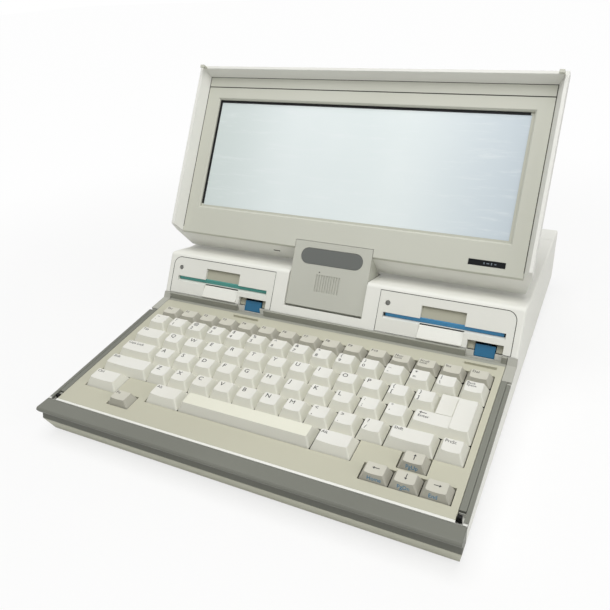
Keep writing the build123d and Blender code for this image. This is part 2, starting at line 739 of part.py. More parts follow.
def well():
    """Space in the housing in which the neck swings."""
    x_range = (-NECK_HALF - NECK_SIDE_GAP, NECK_HALF + NECK_SIDE_GAP)
    space = rod(WELL_RADIUS, x_range, PIVOT_Y, PIVOT_Z)
    space += block(FASCIA, x_range, (BAND_HEIGHT, FASCIA_CORNER + 20), (-12, 6))
    space += block(WORLD, x_range, (PIVOT_Y - 19, PIVOT_Y + WELL_RADIUS), (PIVOT_Z, PIVOT_Z + 30))
    return space


def rear_housing():
    """Housing behind the keyboard, open below, with drive bays and the neck's well."""
    housing = housing_blank() & block(WORLD, (-HALF, HALF), (FASCIA_Y - 5, COVER_Y), (0, 200))
    wall = HOUSING_WALL
    slope = tan(radians(FASCIA_LEAN))
    corner = spot(FASCIA, FASCIA_CORNER, -wall)
    inside = [
        (FASCIA_Y + wall, SPLIT_Z - 1),
        (FASCIA_Y + wall, FASCIA_Z + wall * slope),
        (corner[0], corner[1] - wall),
        (CREST_Y, CREST_Z - wall),
        (COVER_Y + 1, housing_top(COVER_Y) - wall),
        (COVER_Y + 1, SPLIT_Z - 1),
    ]
    for name, side in SIDES.items():
        housing -= side_prism(inside, both(COLUMN_OUTER, HALF - wall, side))
        housing -= bezel_blank(name, GAP)
        pocket = both(BRACKET_INNER - GAP, BRACKET_INNER + BRACKET_THICK + GAP, side)
        reach = BRACKET_EYE + GAP
        pocket_y = (PIVOT_Y - reach, PIVOT_Y + reach)
        housing -= block(WORLD, pocket, pocket_y, (SPLIT_Z - 1, PIVOT_Z + reach))
        low, high = BUTTON_RANGE[name]
        opening = (low - GAP, high + GAP)
        housing -= block(WORLD, opening, (FASCIA_Y - 1, FASCIA_Y + 8), (BUTTON_LOW_Z - GAP, FASCIA_Z + 4))
    centre = [
        (PIVOT_Y + WELL_RADIUS + wall, SPLIT_Z - 1),
        (PIVOT_Y + WELL_RADIUS + wall, housing_top(PIVOT_Y + WELL_RADIUS) - wall),
        (COVER_Y + 1, housing_top(COVER_Y) - wall),
        (COVER_Y + 1, SPLIT_Z - 1),
    ]
    housing -= side_prism(centre, (-COLUMN_OUTER - 1, COLUMN_OUTER + 1))
    housing -= well()
    housing -= rod(PIN_RADIUS + GAP, (-PIN_HALF - GAP, PIN_HALF + GAP), PIVOT_Y, PIVOT_Z)
    return housing


def rear_cover():
    """Cover at the back, behind a fine parting line."""
    front = COVER_Y + GAP
    cover = housing_blank() & block(WORLD, (-HALF, HALF), (front, DEPTH + 5), (0, 200))
    wall = HOUSING_WALL
    y_range = (front - 1, DEPTH - wall)
    inside_top = housing_top(DEPTH) - wall
    cover -= block(WORLD, (-HALF + wall, HALF - wall), y_range, (SPLIT_Z - 1, inside_top))
    return cover


def drive_bezel(name):
    """Drive front with its slot, thumb channel, lamp hole and eject notch."""
    bezel = bezel_blank(name, 0)
    slot_half = DISK_THICK / 2 + GAP
    slot_z = (DISK_Z - slot_half, DISK_Z + slot_half)
    bezel -= block(WORLD, SLOT_RANGE[name], (FASCIA_Y - 5, DRIVE_FRONT), slot_z)
    thumb = (THUMB_CENTRE[name] - THUMB_WIDTH / 2, THUMB_CENTRE[name] + THUMB_WIDTH / 2)
    upper = block(FASCIA, thumb, (SLOT_HIGH - 1, THUMB_TOP), (-THUMB_DEPTH, 5))
    tongue = [
        spot(FASCIA, TONGUE_LOW, TONGUE_OUT),
        spot(FASCIA, SLOT_LOW, -THUMB_DEPTH),
        spot(FASCIA, SLOT_LOW, -BEZEL_THICK),
        spot(FASCIA, TONGUE_LOW, -BEZEL_THICK),
    ]
    bezel -= upper
    bezel -= block(FASCIA, thumb, (-1, SLOT_LOW + 1), (-BEZEL_THICK - 1, 5))
    ramp = side_prism(tongue, thumb)
    ramp = fillet(edges_across(ramp, *spot(FASCIA, TONGUE_LOW, TONGUE_OUT)), 0.8)
    bezel += ramp
    bezel -= block(FASCIA, NOTCH_RANGE[name], (-1, NOTCH_TOP), (-10, 5))
    bezel -= FASCIA * Pos(LAMP_X[name], LAMP_UP, 0) * Cylinder(LAMP_RADIUS, 20)
    return bezel


def drive_lamps():
    """Round activity lamps in the drive fronts."""
    shapes = []
    for name in SIDES:
        lens = Pos(LAMP_X[name], LAMP_UP, -BEZEL_THICK / 2) * Cylinder(LAMP_RADIUS - 0.1, BEZEL_THICK)
        lens = chamfer(lens.edges().group_by(Axis.Z)[-1], 0.5)
        shapes.append(FASCIA * lens)
    return shapes


def slot_centre(name):
    """Middle of a drive slot across the machine."""
    return sum(SLOT_RANGE[name]) / 2


def drive(name):
    """Drive body with the bay that the diskette lies in."""
    centre = slot_centre(name)
    x_range = (centre - DRIVE_HALF_WIDTH, centre + DRIVE_HALF_WIDTH)
    body = block(WORLD, x_range, (DRIVE_FRONT, DRIVE_FRONT + DRIVE_LENGTH), (DRIVE_LOW_Z, DRIVE_HIGH_Z))
    bay = DISK_WIDTH / 2 + GAP
    bay_z = (DISK_Z - DISK_THICK / 2 - GAP, DISK_Z + DISK_THICK / 2 + GAP)
    bay_y = (DRIVE_FRONT - 1, DISK_FRONT + DISK_LENGTH + GAP)
    body -= block(WORLD, (centre - bay, centre + bay), bay_y, bay_z)
    return body


def diskette(name):
    """Diskette with one cut corner and a sliding shutter step."""
    centre = slot_centre(name)
    outline = Rectangle(DISK_WIDTH, DISK_LENGTH)
    corner = outline.vertices().sort_by(lambda v: -(v.X + v.Y))[0]
    outline = chamfer(corner, DISK_CORNER)
    disk = Pos(0, 0, -DISK_THICK / 2) * extrude(outline, amount=DISK_THICK)
    shutter = Pos(0, DISK_LENGTH / 2 - 15, DISK_THICK / 2) * Box(DISK_WIDTH * 0.5, 31, 0.8)
    disk -= shutter
    return Pos(centre, DISK_FRONT + DISK_LENGTH / 2, DISK_Z) * disk


def eject_button(name):
    """Push button in front of a lever that runs under the drive."""
    low, high = BUTTON_RANGE[name]
    bottom = (BUTTON_LOW_Z - FASCIA_Z) / cos(radians(FASCIA_LEAN)) - 1.6
    pad = block(FASCIA, (low, high), (bottom, BUTTON_TOP), (-BUTTON_INSET - BUTTON_PAD, -BUTTON_INSET))
    pad -= block(WORLD, (low - 1, high + 1), (FASCIA_Y - 60, FASCIA_Y + 90), (0, BUTTON_LOW_Z))
    start = spot(FASCIA, 0, -BUTTON_INSET - 3)[0]
    lever_x = (low + 4, high - 4)
    top = DRIVE_LOW_Z - GAP
    pad += block(WORLD, lever_x, (start, start + LEVER_LENGTH), (BUTTON_LOW_Z, top))
    return pad


# Hinge and neck


def hinge_pin():
    """Steel pin across the well."""
    return rod(PIN_RADIUS, (-PIN_HALF, PIN_HALF), PIVOT_Y, PIVOT_Z)


def hinge_brackets():
    """Steel plates that hold the ends of the pin."""
    shapes = []
    for side in SIDES.values():
        x_range = both(BRACKET_INNER, BRACKET_INNER + BRACKET_THICK, side)
        plate = rod(BRACKET_EYE, x_range, PIVOT_Y, PIVOT_Z)
        plate += block(WORLD, x_range, (PIVOT_Y - BRACKET_EYE, PIVOT_Y + BRACKET_EYE), (SPLIT_Z, PIVOT_Z))
        plate -= rod(PIN_RADIUS + 0.02, x_range, PIVOT_Y, PIVOT_Z)
        shapes.append(plate)
    return shapes


def neck_cover():
    """Front plate of the neck with the badge's recess and the grip ribs."""
    along = (NECK_BOTTOM, NECK_TOP)
    plate = block(FASCIA, (-NECK_HALF, NECK_HALF), along, (-NECK_INSET - NECK_COVER_THICK, -NECK_INSET))
    badge = badge_outline(0.2)
    plate -= FASCIA * Pos(0, BADGE_UP, -NECK_INSET - BADGE_SET) * extrude(badge, amount=5)
    first = -(GRIP_COUNT - 1) * GRIP_PITCH / 2
    for i in range(GRIP_COUNT):
        x = first + i * GRIP_PITCH
        x_range = (x - GRIP_PITCH / 4, x + GRIP_PITCH / 4)
        grip = (GRIP_UP, GRIP_UP + GRIP_LENGTH)
        plate -= block(FASCIA, x_range, grip, (-NECK_INSET - GRIP_DEPTH, 0))
    return plate


def badge_outline(grow):
    """Bare oval of the badge."""
    return SlotOverall(BADGE_LENGTH + 2 * grow, BADGE_HEIGHT + 2 * grow)


def badge_plate():
    """Bare oval plate in the neck cover."""
    plate = extrude(badge_outline(0), amount=BADGE_SET)
    return FASCIA * Pos(0, BADGE_UP, -NECK_INSET - BADGE_SET) * plate


def neck_core():
    """Body of the neck: it joins the lid to the hinge pin and swings in the well."""
    back = spot(FASCIA, NECK_BOTTOM, -NECK_INSET - NECK_COVER_THICK)
    top = spot(FASCIA, NECK_TOP, -NECK_INSET - NECK_COVER_THICK)
    low_edge = spot(LID, -LID_CHAMFER, -LID_THICK_LOW)
    outline = [back, top, low_edge, *NECK_FOOT]
    core = side_prism(outline, (-NECK_HALF, NECK_HALF))
    swept = rod(NECK_SWEEP_RADIUS, (-NECK_HALF, NECK_HALF), PIVOT_Y, PIVOT_Z)
    above = block(WORLD, (-NECK_HALF, NECK_HALF), (PIVOT_Y - 40, PIVOT_Y + 50), (PIVOT_Z, PIVOT_Z + 70))
    core = core & (swept + above)
    core -= lid_blank()
    core -= block(FASCIA, (-NECK_HALF, NECK_HALF), (0, NECK_TOP + 10), (-NECK_INSET - NECK_COVER_THICK, 10))
    core -= rod(PIN_RADIUS + PIN_FIT, (-NECK_HALF, NECK_HALF), PIVOT_Y, PIVOT_Z)
    return core


# Lid


def lid_blank():
    """Outer form of the lid, with a straight chamfer below and sides drawn in to the back."""
    outline = [
        spot(LID, 0, 0),
        spot(LID, LID_LENGTH, 0),
        spot(LID, LID_LENGTH, -LID_THICK_TOP),
        spot(LID, -LID_CHAMFER, -LID_THICK_LOW),
    ]
    return side_prism(outline, (-HALF, HALF))


def lid_opening():
    """Drafted space in front of the bezel."""
    front_top = LID_LENGTH - RIM_TOP_WIDTH
    low = -LID_CHAMFER - 20
    front = Pos(0, (front_top + low) / 2) * Rectangle(2 * (HALF - RIM_WIDTH), front_top - low)
    deep_top = front_top - RECESS_DRAFT
    deep_half = HALF - RIM_WIDTH - RECESS_DRAFT
    deep = Pos(0, (deep_top + low) / 2) * Rectangle(2 * deep_half, deep_top - low)
    space = loft([LID * front, LID * Pos(0, 0, -BEZEL_SET) * deep])
    seat = block(LID, (-deep_half, deep_half), (low, deep_top), (-BEZEL_SET - LID_BEZEL_THICK, -BEZEL_SET))
    return space + seat


def lid_shell():
    """Lid tub: rim, drafted inner walls, chamfer and back."""
    shell = lid_blank()
    half_side = [(-HALF, 0), (-HALF, -BEZEL_SET), (-LID_BACK_HALF, -LID_THICK_LOW)]
    half_side += [(LID_BACK_HALF, -LID_THICK_LOW), (HALF, -BEZEL_SET), (HALF, 0)]
    plan = Polygon(*half_side, align=None)
    length = LID_LENGTH + LID_CHAMFER + 20
    taper = extrude(plan, amount=length, dir=(0, 0, 1))
    across = Plane(origin=LID.from_local_coords(Vector(0, -LID_CHAMFER - 10, 0)), x_dir=(1, 0, 0), z_dir=LID.y_dir)
    taper = across * mirror(taper, about=Plane.XZ)
    shell = shell & taper
    top = spot(LID, LID_LENGTH, -LID_THICK_TOP)
    low = spot(LID, -LID_CHAMFER, -LID_THICK_LOW)
    shell = fillet([edges_across(shell, *top), edges_across(shell, *low)], LID_EDGE)
    shell -= lid_opening()
    wall_low = -LID_CHAMFER + LID_WALL
    cavity = side_prism(
        [
            spot(LID, -1.0, -BEZEL_BACK + 0.5),
            spot(LID, BEZEL_HIGH - LID_WALL, -BEZEL_BACK + 0.5),
            spot(LID, BEZEL_HIGH - LID_WALL, -LID_THICK_TOP + LID_WALL),
            spot(LID, wall_low, -LID_THICK_LOW + LID_WALL),
        ],
        (-BEZEL_HALF + 1.5, BEZEL_HALF - 1.5),
    )
    shell -= cavity
    neck = (-NECK_HALF - GAP, NECK_HALF + GAP)
    return shell - block(FASCIA, neck, (NECK_BOTTOM, NECK_TOP + GAP), (-NECK_INSET - NECK_COVER_THICK, 10))


def lid_bezel():
    """Frame round the screen, down to the chamfer, cut away round the neck."""
    half = BEZEL_HALF - 0.2
    low = -LID_CHAMFER * BEZEL_SET / LID_THICK_LOW
    low_back = -LID_CHAMFER * BEZEL_BACK / LID_THICK_LOW
    outline = [
        spot(LID, low, -BEZEL_SET),
        spot(LID, BEZEL_HIGH - 0.2, -BEZEL_SET),
        spot(LID, BEZEL_HIGH - 0.2, -BEZEL_BACK),
        spot(LID, low_back, -BEZEL_BACK),
    ]
    plate = side_prism(outline, (-half, half))
    window = (WINDOW_LOW + WINDOW_HIGH) / 2
    height = WINDOW_HIGH - WINDOW_LOW
    bevel = WINDOW_BEVEL
    wide = LID * Pos(0, window, -BEZEL_SET) * Rectangle(2 * (WINDOW_HALF + bevel), height + 2 * bevel)
    tight = LID * Pos(0, window, -BEZEL_SET - bevel) * Rectangle(2 * WINDOW_HALF, height)
    plate -= loft([wide, tight])
    plate -= block(LID, (-WINDOW_HALF, WINDOW_HALF), (WINDOW_LOW, WINDOW_HIGH), (-BEZEL_BACK - 1, -BEZEL_SET))
    groove = (GROOVE_AT, GROOVE_AT + GROOVE_WIDTH)
    plate -= block(LID, (-half - 1, half + 1), groove, (-BEZEL_SET - GROOVE_DEPTH, -BEZEL_SET + 1))
    pocket = (INDICATOR_LOW, INDICATOR_HIGH)
    plate -= block(LID, INDICATOR_RANGE, pocket, (-BEZEL_SET - INDICATOR_THICK, -BEZEL_SET + 1))
    notch = NECK_HALF + GAP
    notch_top = neck_top_on_lid() + GAP
    plate -= block(LID, (-notch, notch), (low_back - 5, notch_top), (-BEZEL_BACK - 5, 5))
    return plate


def neck_top_on_lid():
    """Upper edge of the neck cover, measured along the lid."""
    y, z = spot(FASCIA, NECK_TOP, -NECK_INSET)
    return LID.to_local_coords(Vector(0, y, z)).Y


def indicator_window():
    """Clear strip over the indicator lamps."""
    low, high = INDICATOR_RANGE
    x_range = (low + 0.1, high - 0.1)
    along = (INDICATOR_LOW + 0.1, INDICATOR_HIGH - 0.1)
    return block(LID, x_range, along, (-BEZEL_SET - INDICATOR_THICK, -BEZEL_SET + 0.2))


def lcd_frame():
    """Dark tray behind the bezel: it holds the screen glass."""
    half = WINDOW_HALF + 6
    low = WINDOW_LOW - 6
    high = WINDOW_HIGH + 6
    frame = block(LID, (-half, half), (low, high), (-BEZEL_BACK - MODULE_THICK, -BEZEL_BACK))
    glass_half = WINDOW_HALF - SCREEN_BORDER
    glass = (WINDOW_LOW + SCREEN_BORDER, WINDOW_HIGH - SCREEN_BORDER)
    frame -= block(LID, (-glass_half, glass_half), glass, (-BEZEL_BACK - SCREEN_THICK, -BEZEL_BACK + 1))
    return frame


def lcd_panel():
    """Screen glass in its tray."""
    half = WINDOW_HALF - SCREEN_BORDER - 0.1
    along = (WINDOW_LOW + SCREEN_BORDER + 0.1, WINDOW_HIGH - SCREEN_BORDER - 0.1)
    return block(LID, (-half, half), along, (-BEZEL_BACK - SCREEN_THICK, -BEZEL_BACK - 0.4))


def lid_hooks():
    """Claws on the rim, which drop into the latch recesses."""
    shapes = []
    start = LID_LENGTH - RIM_TOP_WIDTH - 0.2
    middle = DECK_HALF + 0.2 + RECESS_WIDTH / 2
    for side in SIDES.values():
        x_range = both(middle - HOOK_WIDTH / 2, middle + HOOK_WIDTH / 2, side)
        blade = block(LID, x_range, (start, start + HOOK_THICK), (0, HOOK_REACH))
        nose = (HOOK_REACH - HOOK_NOSE_THICK, HOOK_REACH)
        blade += block(LID, x_range, (start - HOOK_NOSE, start + 0.1), nose)
        shapes.append(blade)
    return shapes


PARTS = {
    "base_shell": base_shell,
    "feet": feet,
    "case_screws": case_screws,
    "main_board": main_board,
    "battery_pack": battery_pack,
    "outer_strips": outer_strips,
    "inner_strips": inner_strips,
    "side_blocks": side_blocks,
    "keyboard_deck": keyboard_deck,
    "key_plate": key_plate,
    "recess_wall": recess_wall,
    "rear_housing": rear_housing,
    "rear_cover": rear_cover,
    "drive_lamps": drive_lamps,
    "hinge_pin": hinge_pin,
    "hinge_brackets": hinge_brackets,
    "handle": handle,
    "key_enter": key_enter,
    "lid_shell": lid_shell,
    "lid_bezel": lid_bezel,
    "lid_hooks": lid_hooks,
    "indicator_window": indicator_window,
    "lcd_frame": lcd_frame,
    "lcd_panel": lcd_panel,
    "neck_cover": neck_cover,
    "neck_core": neck_core,
    "badge_plate": badge_plate,
}


def build_all():
    """Every node by name."""
    shapes = {name: make() for name, make in PARTS.items()}
    for name, side in SIDES.items():
        shapes["latch_slider_" + name] = latch_slider(side)
        shapes["drive_bezel_" + name] = drive_bezel(name)
        shapes["drive_" + name] = drive(name)
        shapes["diskette_" + name] = diskette(name)
        shapes["eject_button_" + name] = eject_button(name)
    for name, cell in SINGLE_KEYS.items():
        shapes[name] = key(cell)
    for name in KEY_ROWS:
        shapes[name] = [key(cell) for cell in row_cells(name)]
    return shapes


def solids_of(shape):
    """Solids of a node, moved so that the footprint's centre is the origin."""
    pieces = shape if isinstance(shape, list) else [shape]
    solids = [solid for piece in pieces for solid in piece.solids()]
    return [Pos(0, -DEPTH / 2, 0) * solid for solid in solids]


os.makedirs("parts", exist_ok=True)
for node, shape in build_all().items():
    export_step(Compound(children=solids_of(shape)), f"parts/{node}.step")
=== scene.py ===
import json
from math import cos, radians, sin

import bmesh
import bpy
from mathutils import Euler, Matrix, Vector
from mathutils.bvhtree import BVHTree

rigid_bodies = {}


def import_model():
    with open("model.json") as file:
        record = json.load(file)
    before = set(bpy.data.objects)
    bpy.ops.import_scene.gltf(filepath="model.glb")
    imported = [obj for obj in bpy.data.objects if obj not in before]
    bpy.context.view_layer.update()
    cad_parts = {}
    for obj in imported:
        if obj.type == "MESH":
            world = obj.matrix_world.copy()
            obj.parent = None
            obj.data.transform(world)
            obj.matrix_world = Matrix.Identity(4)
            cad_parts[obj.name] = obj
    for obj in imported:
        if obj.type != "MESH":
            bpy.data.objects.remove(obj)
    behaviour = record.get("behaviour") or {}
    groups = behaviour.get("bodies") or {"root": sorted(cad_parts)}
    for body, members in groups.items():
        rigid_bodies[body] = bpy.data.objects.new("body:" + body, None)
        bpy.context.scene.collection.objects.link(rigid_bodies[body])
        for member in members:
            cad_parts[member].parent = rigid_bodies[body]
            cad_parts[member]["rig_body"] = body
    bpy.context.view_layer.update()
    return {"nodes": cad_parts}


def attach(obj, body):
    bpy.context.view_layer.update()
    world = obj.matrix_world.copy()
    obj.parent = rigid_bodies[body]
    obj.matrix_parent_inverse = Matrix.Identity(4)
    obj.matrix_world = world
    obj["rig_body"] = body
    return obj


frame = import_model()
NODES = frame["nodes"]
MM = 0.001

# Deck plane of the keyboard, in the frame's metres
DECK_SLOPE = radians(5.37)
DECK_ORIGIN = Vector((0, -0.1699, 0.0274))
DECK_ALONG = Vector((0, cos(DECK_SLOPE), sin(DECK_SLOPE)))
DECK_UP = Vector((0, -sin(DECK_SLOPE), cos(DECK_SLOPE)))

# Fascia plane of the drives and the neck cover
FASCIA_LEAN = radians(30.25)
FASCIA_ORIGIN = Vector((0, -0.025, 0.0459))
FASCIA_ALONG = Vector((0, sin(FASCIA_LEAN), cos(FASCIA_LEAN)))
FASCIA_OUT = Vector((0, -cos(FASCIA_LEAN), sin(FASCIA_LEAN)))

# Plane of the lid's rim
LID_TILT = radians(31.96)
LID_ORIGIN = Vector((0, -0.0012, 0.1022))
LID_ALONG = Vector((0, sin(LID_TILT), cos(LID_TILT)))
LID_OUT = Vector((0, -cos(LID_TILT), sin(LID_TILT)))

# Colours, as they look in plain light, except the painted shade on the keycaps' sides and the chin and the
# painted shadow on the screen frame
SHELL_WHITE = (0.80, 0.80, 0.75)
SHELL_WARM = (0.76, 0.76, 0.70)
LID_WHITE = (0.79, 0.79, 0.74)
BEZEL_GREY = (0.565, 0.57, 0.50)
BEZEL_DARK = (0.53, 0.535, 0.46)
DRIVE_WHITE = (0.76, 0.76, 0.70)
DECK_BEIGE = (0.51, 0.50, 0.395)
SIDE_GREY = (0.42, 0.42, 0.37)
HANDLE_GREY = (0.182, 0.186, 0.158)
KEY_CREAM = (0.75, 0.745, 0.695)
KEY_WARM = (0.71, 0.70, 0.635)
# Painted shade of the keycaps' sloping sides
KEY_SIDE_SHADE = (0.72, 0.715, 0.635)
SPACE_LOW = (0.72, 0.715, 0.60)
SPACE_HIGH = (0.76, 0.755, 0.64)
KEY_GREY = (0.58, 0.565, 0.485)
BUTTON_BLUE = (0.018, 0.14, 0.27)
DISK_BLUE = (0.07, 0.29, 0.55)
DISK_GREEN = (0.10, 0.38, 0.34)
BADGE_GREY = (0.136, 0.144, 0.135)
INK = (0.02, 0.02, 0.022)
INK_BLUE = (0.03, 0.20, 0.38)
# Painted shade on the chin below the handle
CHIN_SHADE = (0.55, 0.55, 0.45)
BLACK_LOW = (0.010, 0.010, 0.010)
BLACK_HIGH = (0.018, 0.018, 0.018)
# Painted shadow of the gap round the screen, on the frame's left and upper edges
FRAME_SHADOW_LOW = (0.012, 0.012, 0.013)
FRAME_SHADOW_HIGH = (0.02, 0.02, 0.02)
SMOKE_LOW = (0.008, 0.009, 0.01)
SMOKE_HIGH = (0.014, 0.015, 0.016)
SCREEN_LOW = (0.70, 0.77, 0.77)
SCREEN_HIGH = (0.77, 0.825, 0.825)
SCREEN_RIGHT = (0.53, 0.60, 0.65)
SCREEN_LEFT = (0.60, 0.665, 0.65)
SMEAR_TONE = (0.79, 0.83, 0.84)

# Drift of the colour, unevenness of the gloss, and grain, the same for every plastic
DRIFT_DETAIL = 4.0
DRIFT_BAND = (0.35, 0.65)
GLOSS_SCALE = 60
GLOSS_SPREAD = 0.06
GRAIN_SCALE = 1600
GRAIN_DETAIL = 2
GRAIN_DEPTH = 0.0002
BEVEL_SAMPLES = 4

# Where tones change over a piece: from this value to that one, in metres unless it is a share
# Painted shade on the key sides, by how far a face turns from the deck's up direction
KEY_SIDE_SHADE_BAND = (0.9, 0.6)
# Where the chin's painted shade begins, by height and by distance from the front
CHIN_TOP_BAND = (0.0165, 0.0155)
CHIN_FRONT_BAND = (-0.1735, -0.1745)
SCREEN_RIGHT_BAND = (0.03, 0.15)
SCREEN_LEFT_BAND = (-0.05, -0.14)
SMEAR_BAND = (0.5, 0.75)
SMEAR_SHARE = 0.45
SMEAR_ACROSS = 22.0
SMEAR_ALONG = 170.0
SMEAR_DETAIL = 8
SMEAR_ROUGHNESS = 0.65
FRAME_RIGHT_BAND = (0.1325, 0.1330)
FRAME_LOW_BAND = (0.0228, 0.0233)


def mixed(tree, low, high, scale):
    """Colour that drifts between two tones over the surface, and the coordinates behind it."""
    noise = tree.nodes.new("ShaderNodeTexNoise")
    noise.inputs["Scale"].default_value = scale
    noise.inputs["Detail"].default_value = DRIFT_DETAIL
    ramp = tree.nodes.new("ShaderNodeValToRGB")
    for element, position, tone in zip(ramp.color_ramp.elements, DRIFT_BAND, (low, high)):
        element.position = position
        element.color = (*tone, 1)
    coords = tree.nodes.new("ShaderNodeTexCoord")
    tree.links.new(coords.outputs["Object"], noise.inputs["Vector"])
    tree.links.new(noise.outputs["Fac"], ramp.inputs["Fac"])
    return ramp.outputs["Color"], coords


def surface(name, low, high, rough, grain=0.08, edge=0.35, metallic=0.0, coat=0.0, drift=9.0, shine=0.3):
    """Moulded surface: drifting colour, uneven gloss, fine grain and slightly rounded edges."""
    material = bpy.data.materials.new(name)
    material.use_nodes = True
    tree = material.node_tree
    shader = tree.nodes["Principled BSDF"]
    colour, coords = mixed(tree, low, high, drift)
    tree.links.new(colour, shader.inputs["Base Color"])
    shader.inputs["Metallic"].default_value = metallic
    shader.inputs["Coat Weight"].default_value = coat
    shader.inputs["Specular IOR Level"].default_value = shine
    gloss = tree.nodes.new("ShaderNodeTexNoise")
    gloss.inputs["Scale"].default_value = GLOSS_SCALE
    span = tree.nodes.new("ShaderNodeMapRange")
    span.inputs["To Min"].default_value = rough - GLOSS_SPREAD
    span.inputs["To Max"].default_value = rough + GLOSS_SPREAD
    tree.links.new(coords.outputs["Object"], gloss.inputs["Vector"])
    tree.links.new(gloss.outputs["Fac"], span.inputs["Value"])
    tree.links.new(span.outputs["Result"], shader.inputs["Roughness"])
    fine = tree.nodes.new("ShaderNodeTexNoise")
    fine.inputs["Scale"].default_value = GRAIN_SCALE
    fine.inputs["Detail"].default_value = GRAIN_DETAIL
    bump = tree.nodes.new("ShaderNodeBump")
    bump.inputs["Strength"].default_value = grain
    bump.inputs["Distance"].default_value = GRAIN_DEPTH
    bevel = tree.nodes.new("ShaderNodeBevel")
    bevel.samples = BEVEL_SAMPLES
    bevel.inputs["Radius"].default_value = edge * MM
    tree.links.new(coords.outputs["Object"], fine.inputs["Vector"])
    tree.links.new(fine.outputs["Fac"], bump.inputs["Height"])
    tree.links.new(bevel.outputs["Normal"], bump.inputs["Normal"])
    tree.links.new(bump.outputs["Normal"], shader.inputs["Normal"])
    return material


def shade(tone, factor):
    """The same colour, lighter or darker."""
    return tuple(min(1.0, channel * factor) for channel in tone)


def value_node(tree, operation, first, second):
    """Arithmetic between two links or numbers."""
    node = tree.nodes.new("ShaderNodeMath")
    node.operation = operation
    for i, item in enumerate((first, second)):
        if isinstance(item, (int, float)):
            node.inputs[i].default_value = item
        else:
            tree.links.new(item, node.inputs[i])
    return node.outputs["Value"]


def faded(tree, value, start, end):
    """Goes smoothly from 0 at start to 1 at end."""
    span = tree.nodes.new("ShaderNodeMapRange")
    span.interpolation_type = "SMOOTHSTEP"
    span.inputs["From Min"].default_value = start
    span.inputs["From Max"].default_value = end
    tree.links.new(value, span.inputs["Value"])
    return span.outputs["Result"]


def place(tree):
    """X, Y and Z of the surface in the frame, in metres."""
    coords = tree.nodes.new("ShaderNodeTexCoord")
    split = tree.nodes.new("ShaderNodeSeparateXYZ")
    tree.links.new(coords.outputs["Object"], split.inputs["Vector"])
    return split.outputs["X"], split.outputs["Y"], split.outputs["Z"]


def place_on_lid(tree):
    """Distance across the machine and along the lid, in metres."""
    x, y, z = place(tree)
    behind = value_node(tree, "SUBTRACT", y, LID_ORIGIN.y)
    above = value_node(tree, "SUBTRACT", z, LID_ORIGIN.z)
    back = value_node(tree, "MULTIPLY", behind, LID_ALONG.y)
    up = value_node(tree, "MULTIPLY", above, LID_ALONG.z)
    return x, value_node(tree, "ADD", back, up)


def tinted(material, factor, tone):
    """Mixes another colour into a material's own, by a factor."""
    tree = material.node_tree
    shader = tree.nodes["Principled BSDF"]
    own = shader.inputs["Base Color"].links[0].from_socket
    mix = tree.nodes.new("ShaderNodeMix")
    mix.data_type = "RGBA"
    for socket in mix.inputs:
        if socket.name == "A" and socket.type == "RGBA":
            tree.links.new(own, socket)
        if socket.name == "B" and socket.type == "RGBA":
            socket.default_value = (*tone, 1)
        if socket.name == "Factor" and socket.type == "VALUE":
            tree.links.new(factor, socket)
    result = [socket for socket in mix.outputs if socket.type == "RGBA"][0]
    tree.links.new(result, shader.inputs["Base Color"])


def key_material(name, low, high, side, edge):
    """Keycap plastic, with painted shade: the sloping sides are painted a greyer, beiger tone than the top.
    """
    material = surface(name, low, high, 0.45, 0.14, edge, drift=14.0)
    tree = material.node_tree
    coords = tree.nodes.new("ShaderNodeTexCoord")
    facing = tree.nodes.new("ShaderNodeVectorMath")
    facing.operation = "DOT_PRODUCT"
    facing.inputs[1].default_value = DECK_UP
    tree.links.new(coords.outputs["Normal"], facing.inputs[0])
    # Painted shade on the sloping sides, by how far each face turns from the deck's up direction
    tinted(material, faded(tree, facing.outputs["Value"], *KEY_SIDE_SHADE_BAND), side)
    return material


def shell_material():
    """Pale shell plastic, with painted shade on the chin below the handle, darker and beiger there."""
    material = surface("shell_plastic", SHELL_WARM, SHELL_WHITE, 0.5, 0.12, 0.5, drift=4.0)
    tree = material.node_tree
    x, y, z = place(tree)
    low = faded(tree, z, *CHIN_TOP_BAND)
    front = faded(tree, y, *CHIN_FRONT_BAND)
    # Painted shade, darker and beiger, on the chin below the handle
    tinted(material, value_node(tree, "MULTIPLY", low, front), CHIN_SHADE)
    return material


def screen_material():
    """Pale display film: greener at the left, bluer at the right, with faint smears across."""
    material = surface("screen_film", SCREEN_LOW, SCREEN_HIGH, 0.35, 0.0, 0.0, drift=5.0)
    tree = material.node_tree
    x, along = place_on_lid(tree)
    tinted(material, faded(tree, x, *SCREEN_RIGHT_BAND), SCREEN_RIGHT)
    tinted(material, faded(tree, x, *SCREEN_LEFT_BAND), SCREEN_LEFT)
    streak = tree.nodes.new("ShaderNodeTexNoise")
    streak.inputs["Scale"].default_value = 1.0
    streak.inputs["Detail"].default_value = SMEAR_DETAIL
    streak.inputs["Roughness"].default_value = SMEAR_ROUGHNESS
    point = tree.nodes.new("ShaderNodeCombineXYZ")
    tree.links.new(value_node(tree, "MULTIPLY", x, SMEAR_ACROSS), point.inputs["X"])
    tree.links.new(value_node(tree, "MULTIPLY", along, SMEAR_ALONG), point.inputs["Y"])
    tree.links.new(point.outputs["Vector"], streak.inputs["Vector"])
    smear = faded(tree, streak.outputs["Fac"], *SMEAR_BAND)
    tinted(material, value_node(tree, "MULTIPLY", smear, SMEAR_SHARE), SMEAR_TONE)
    return material


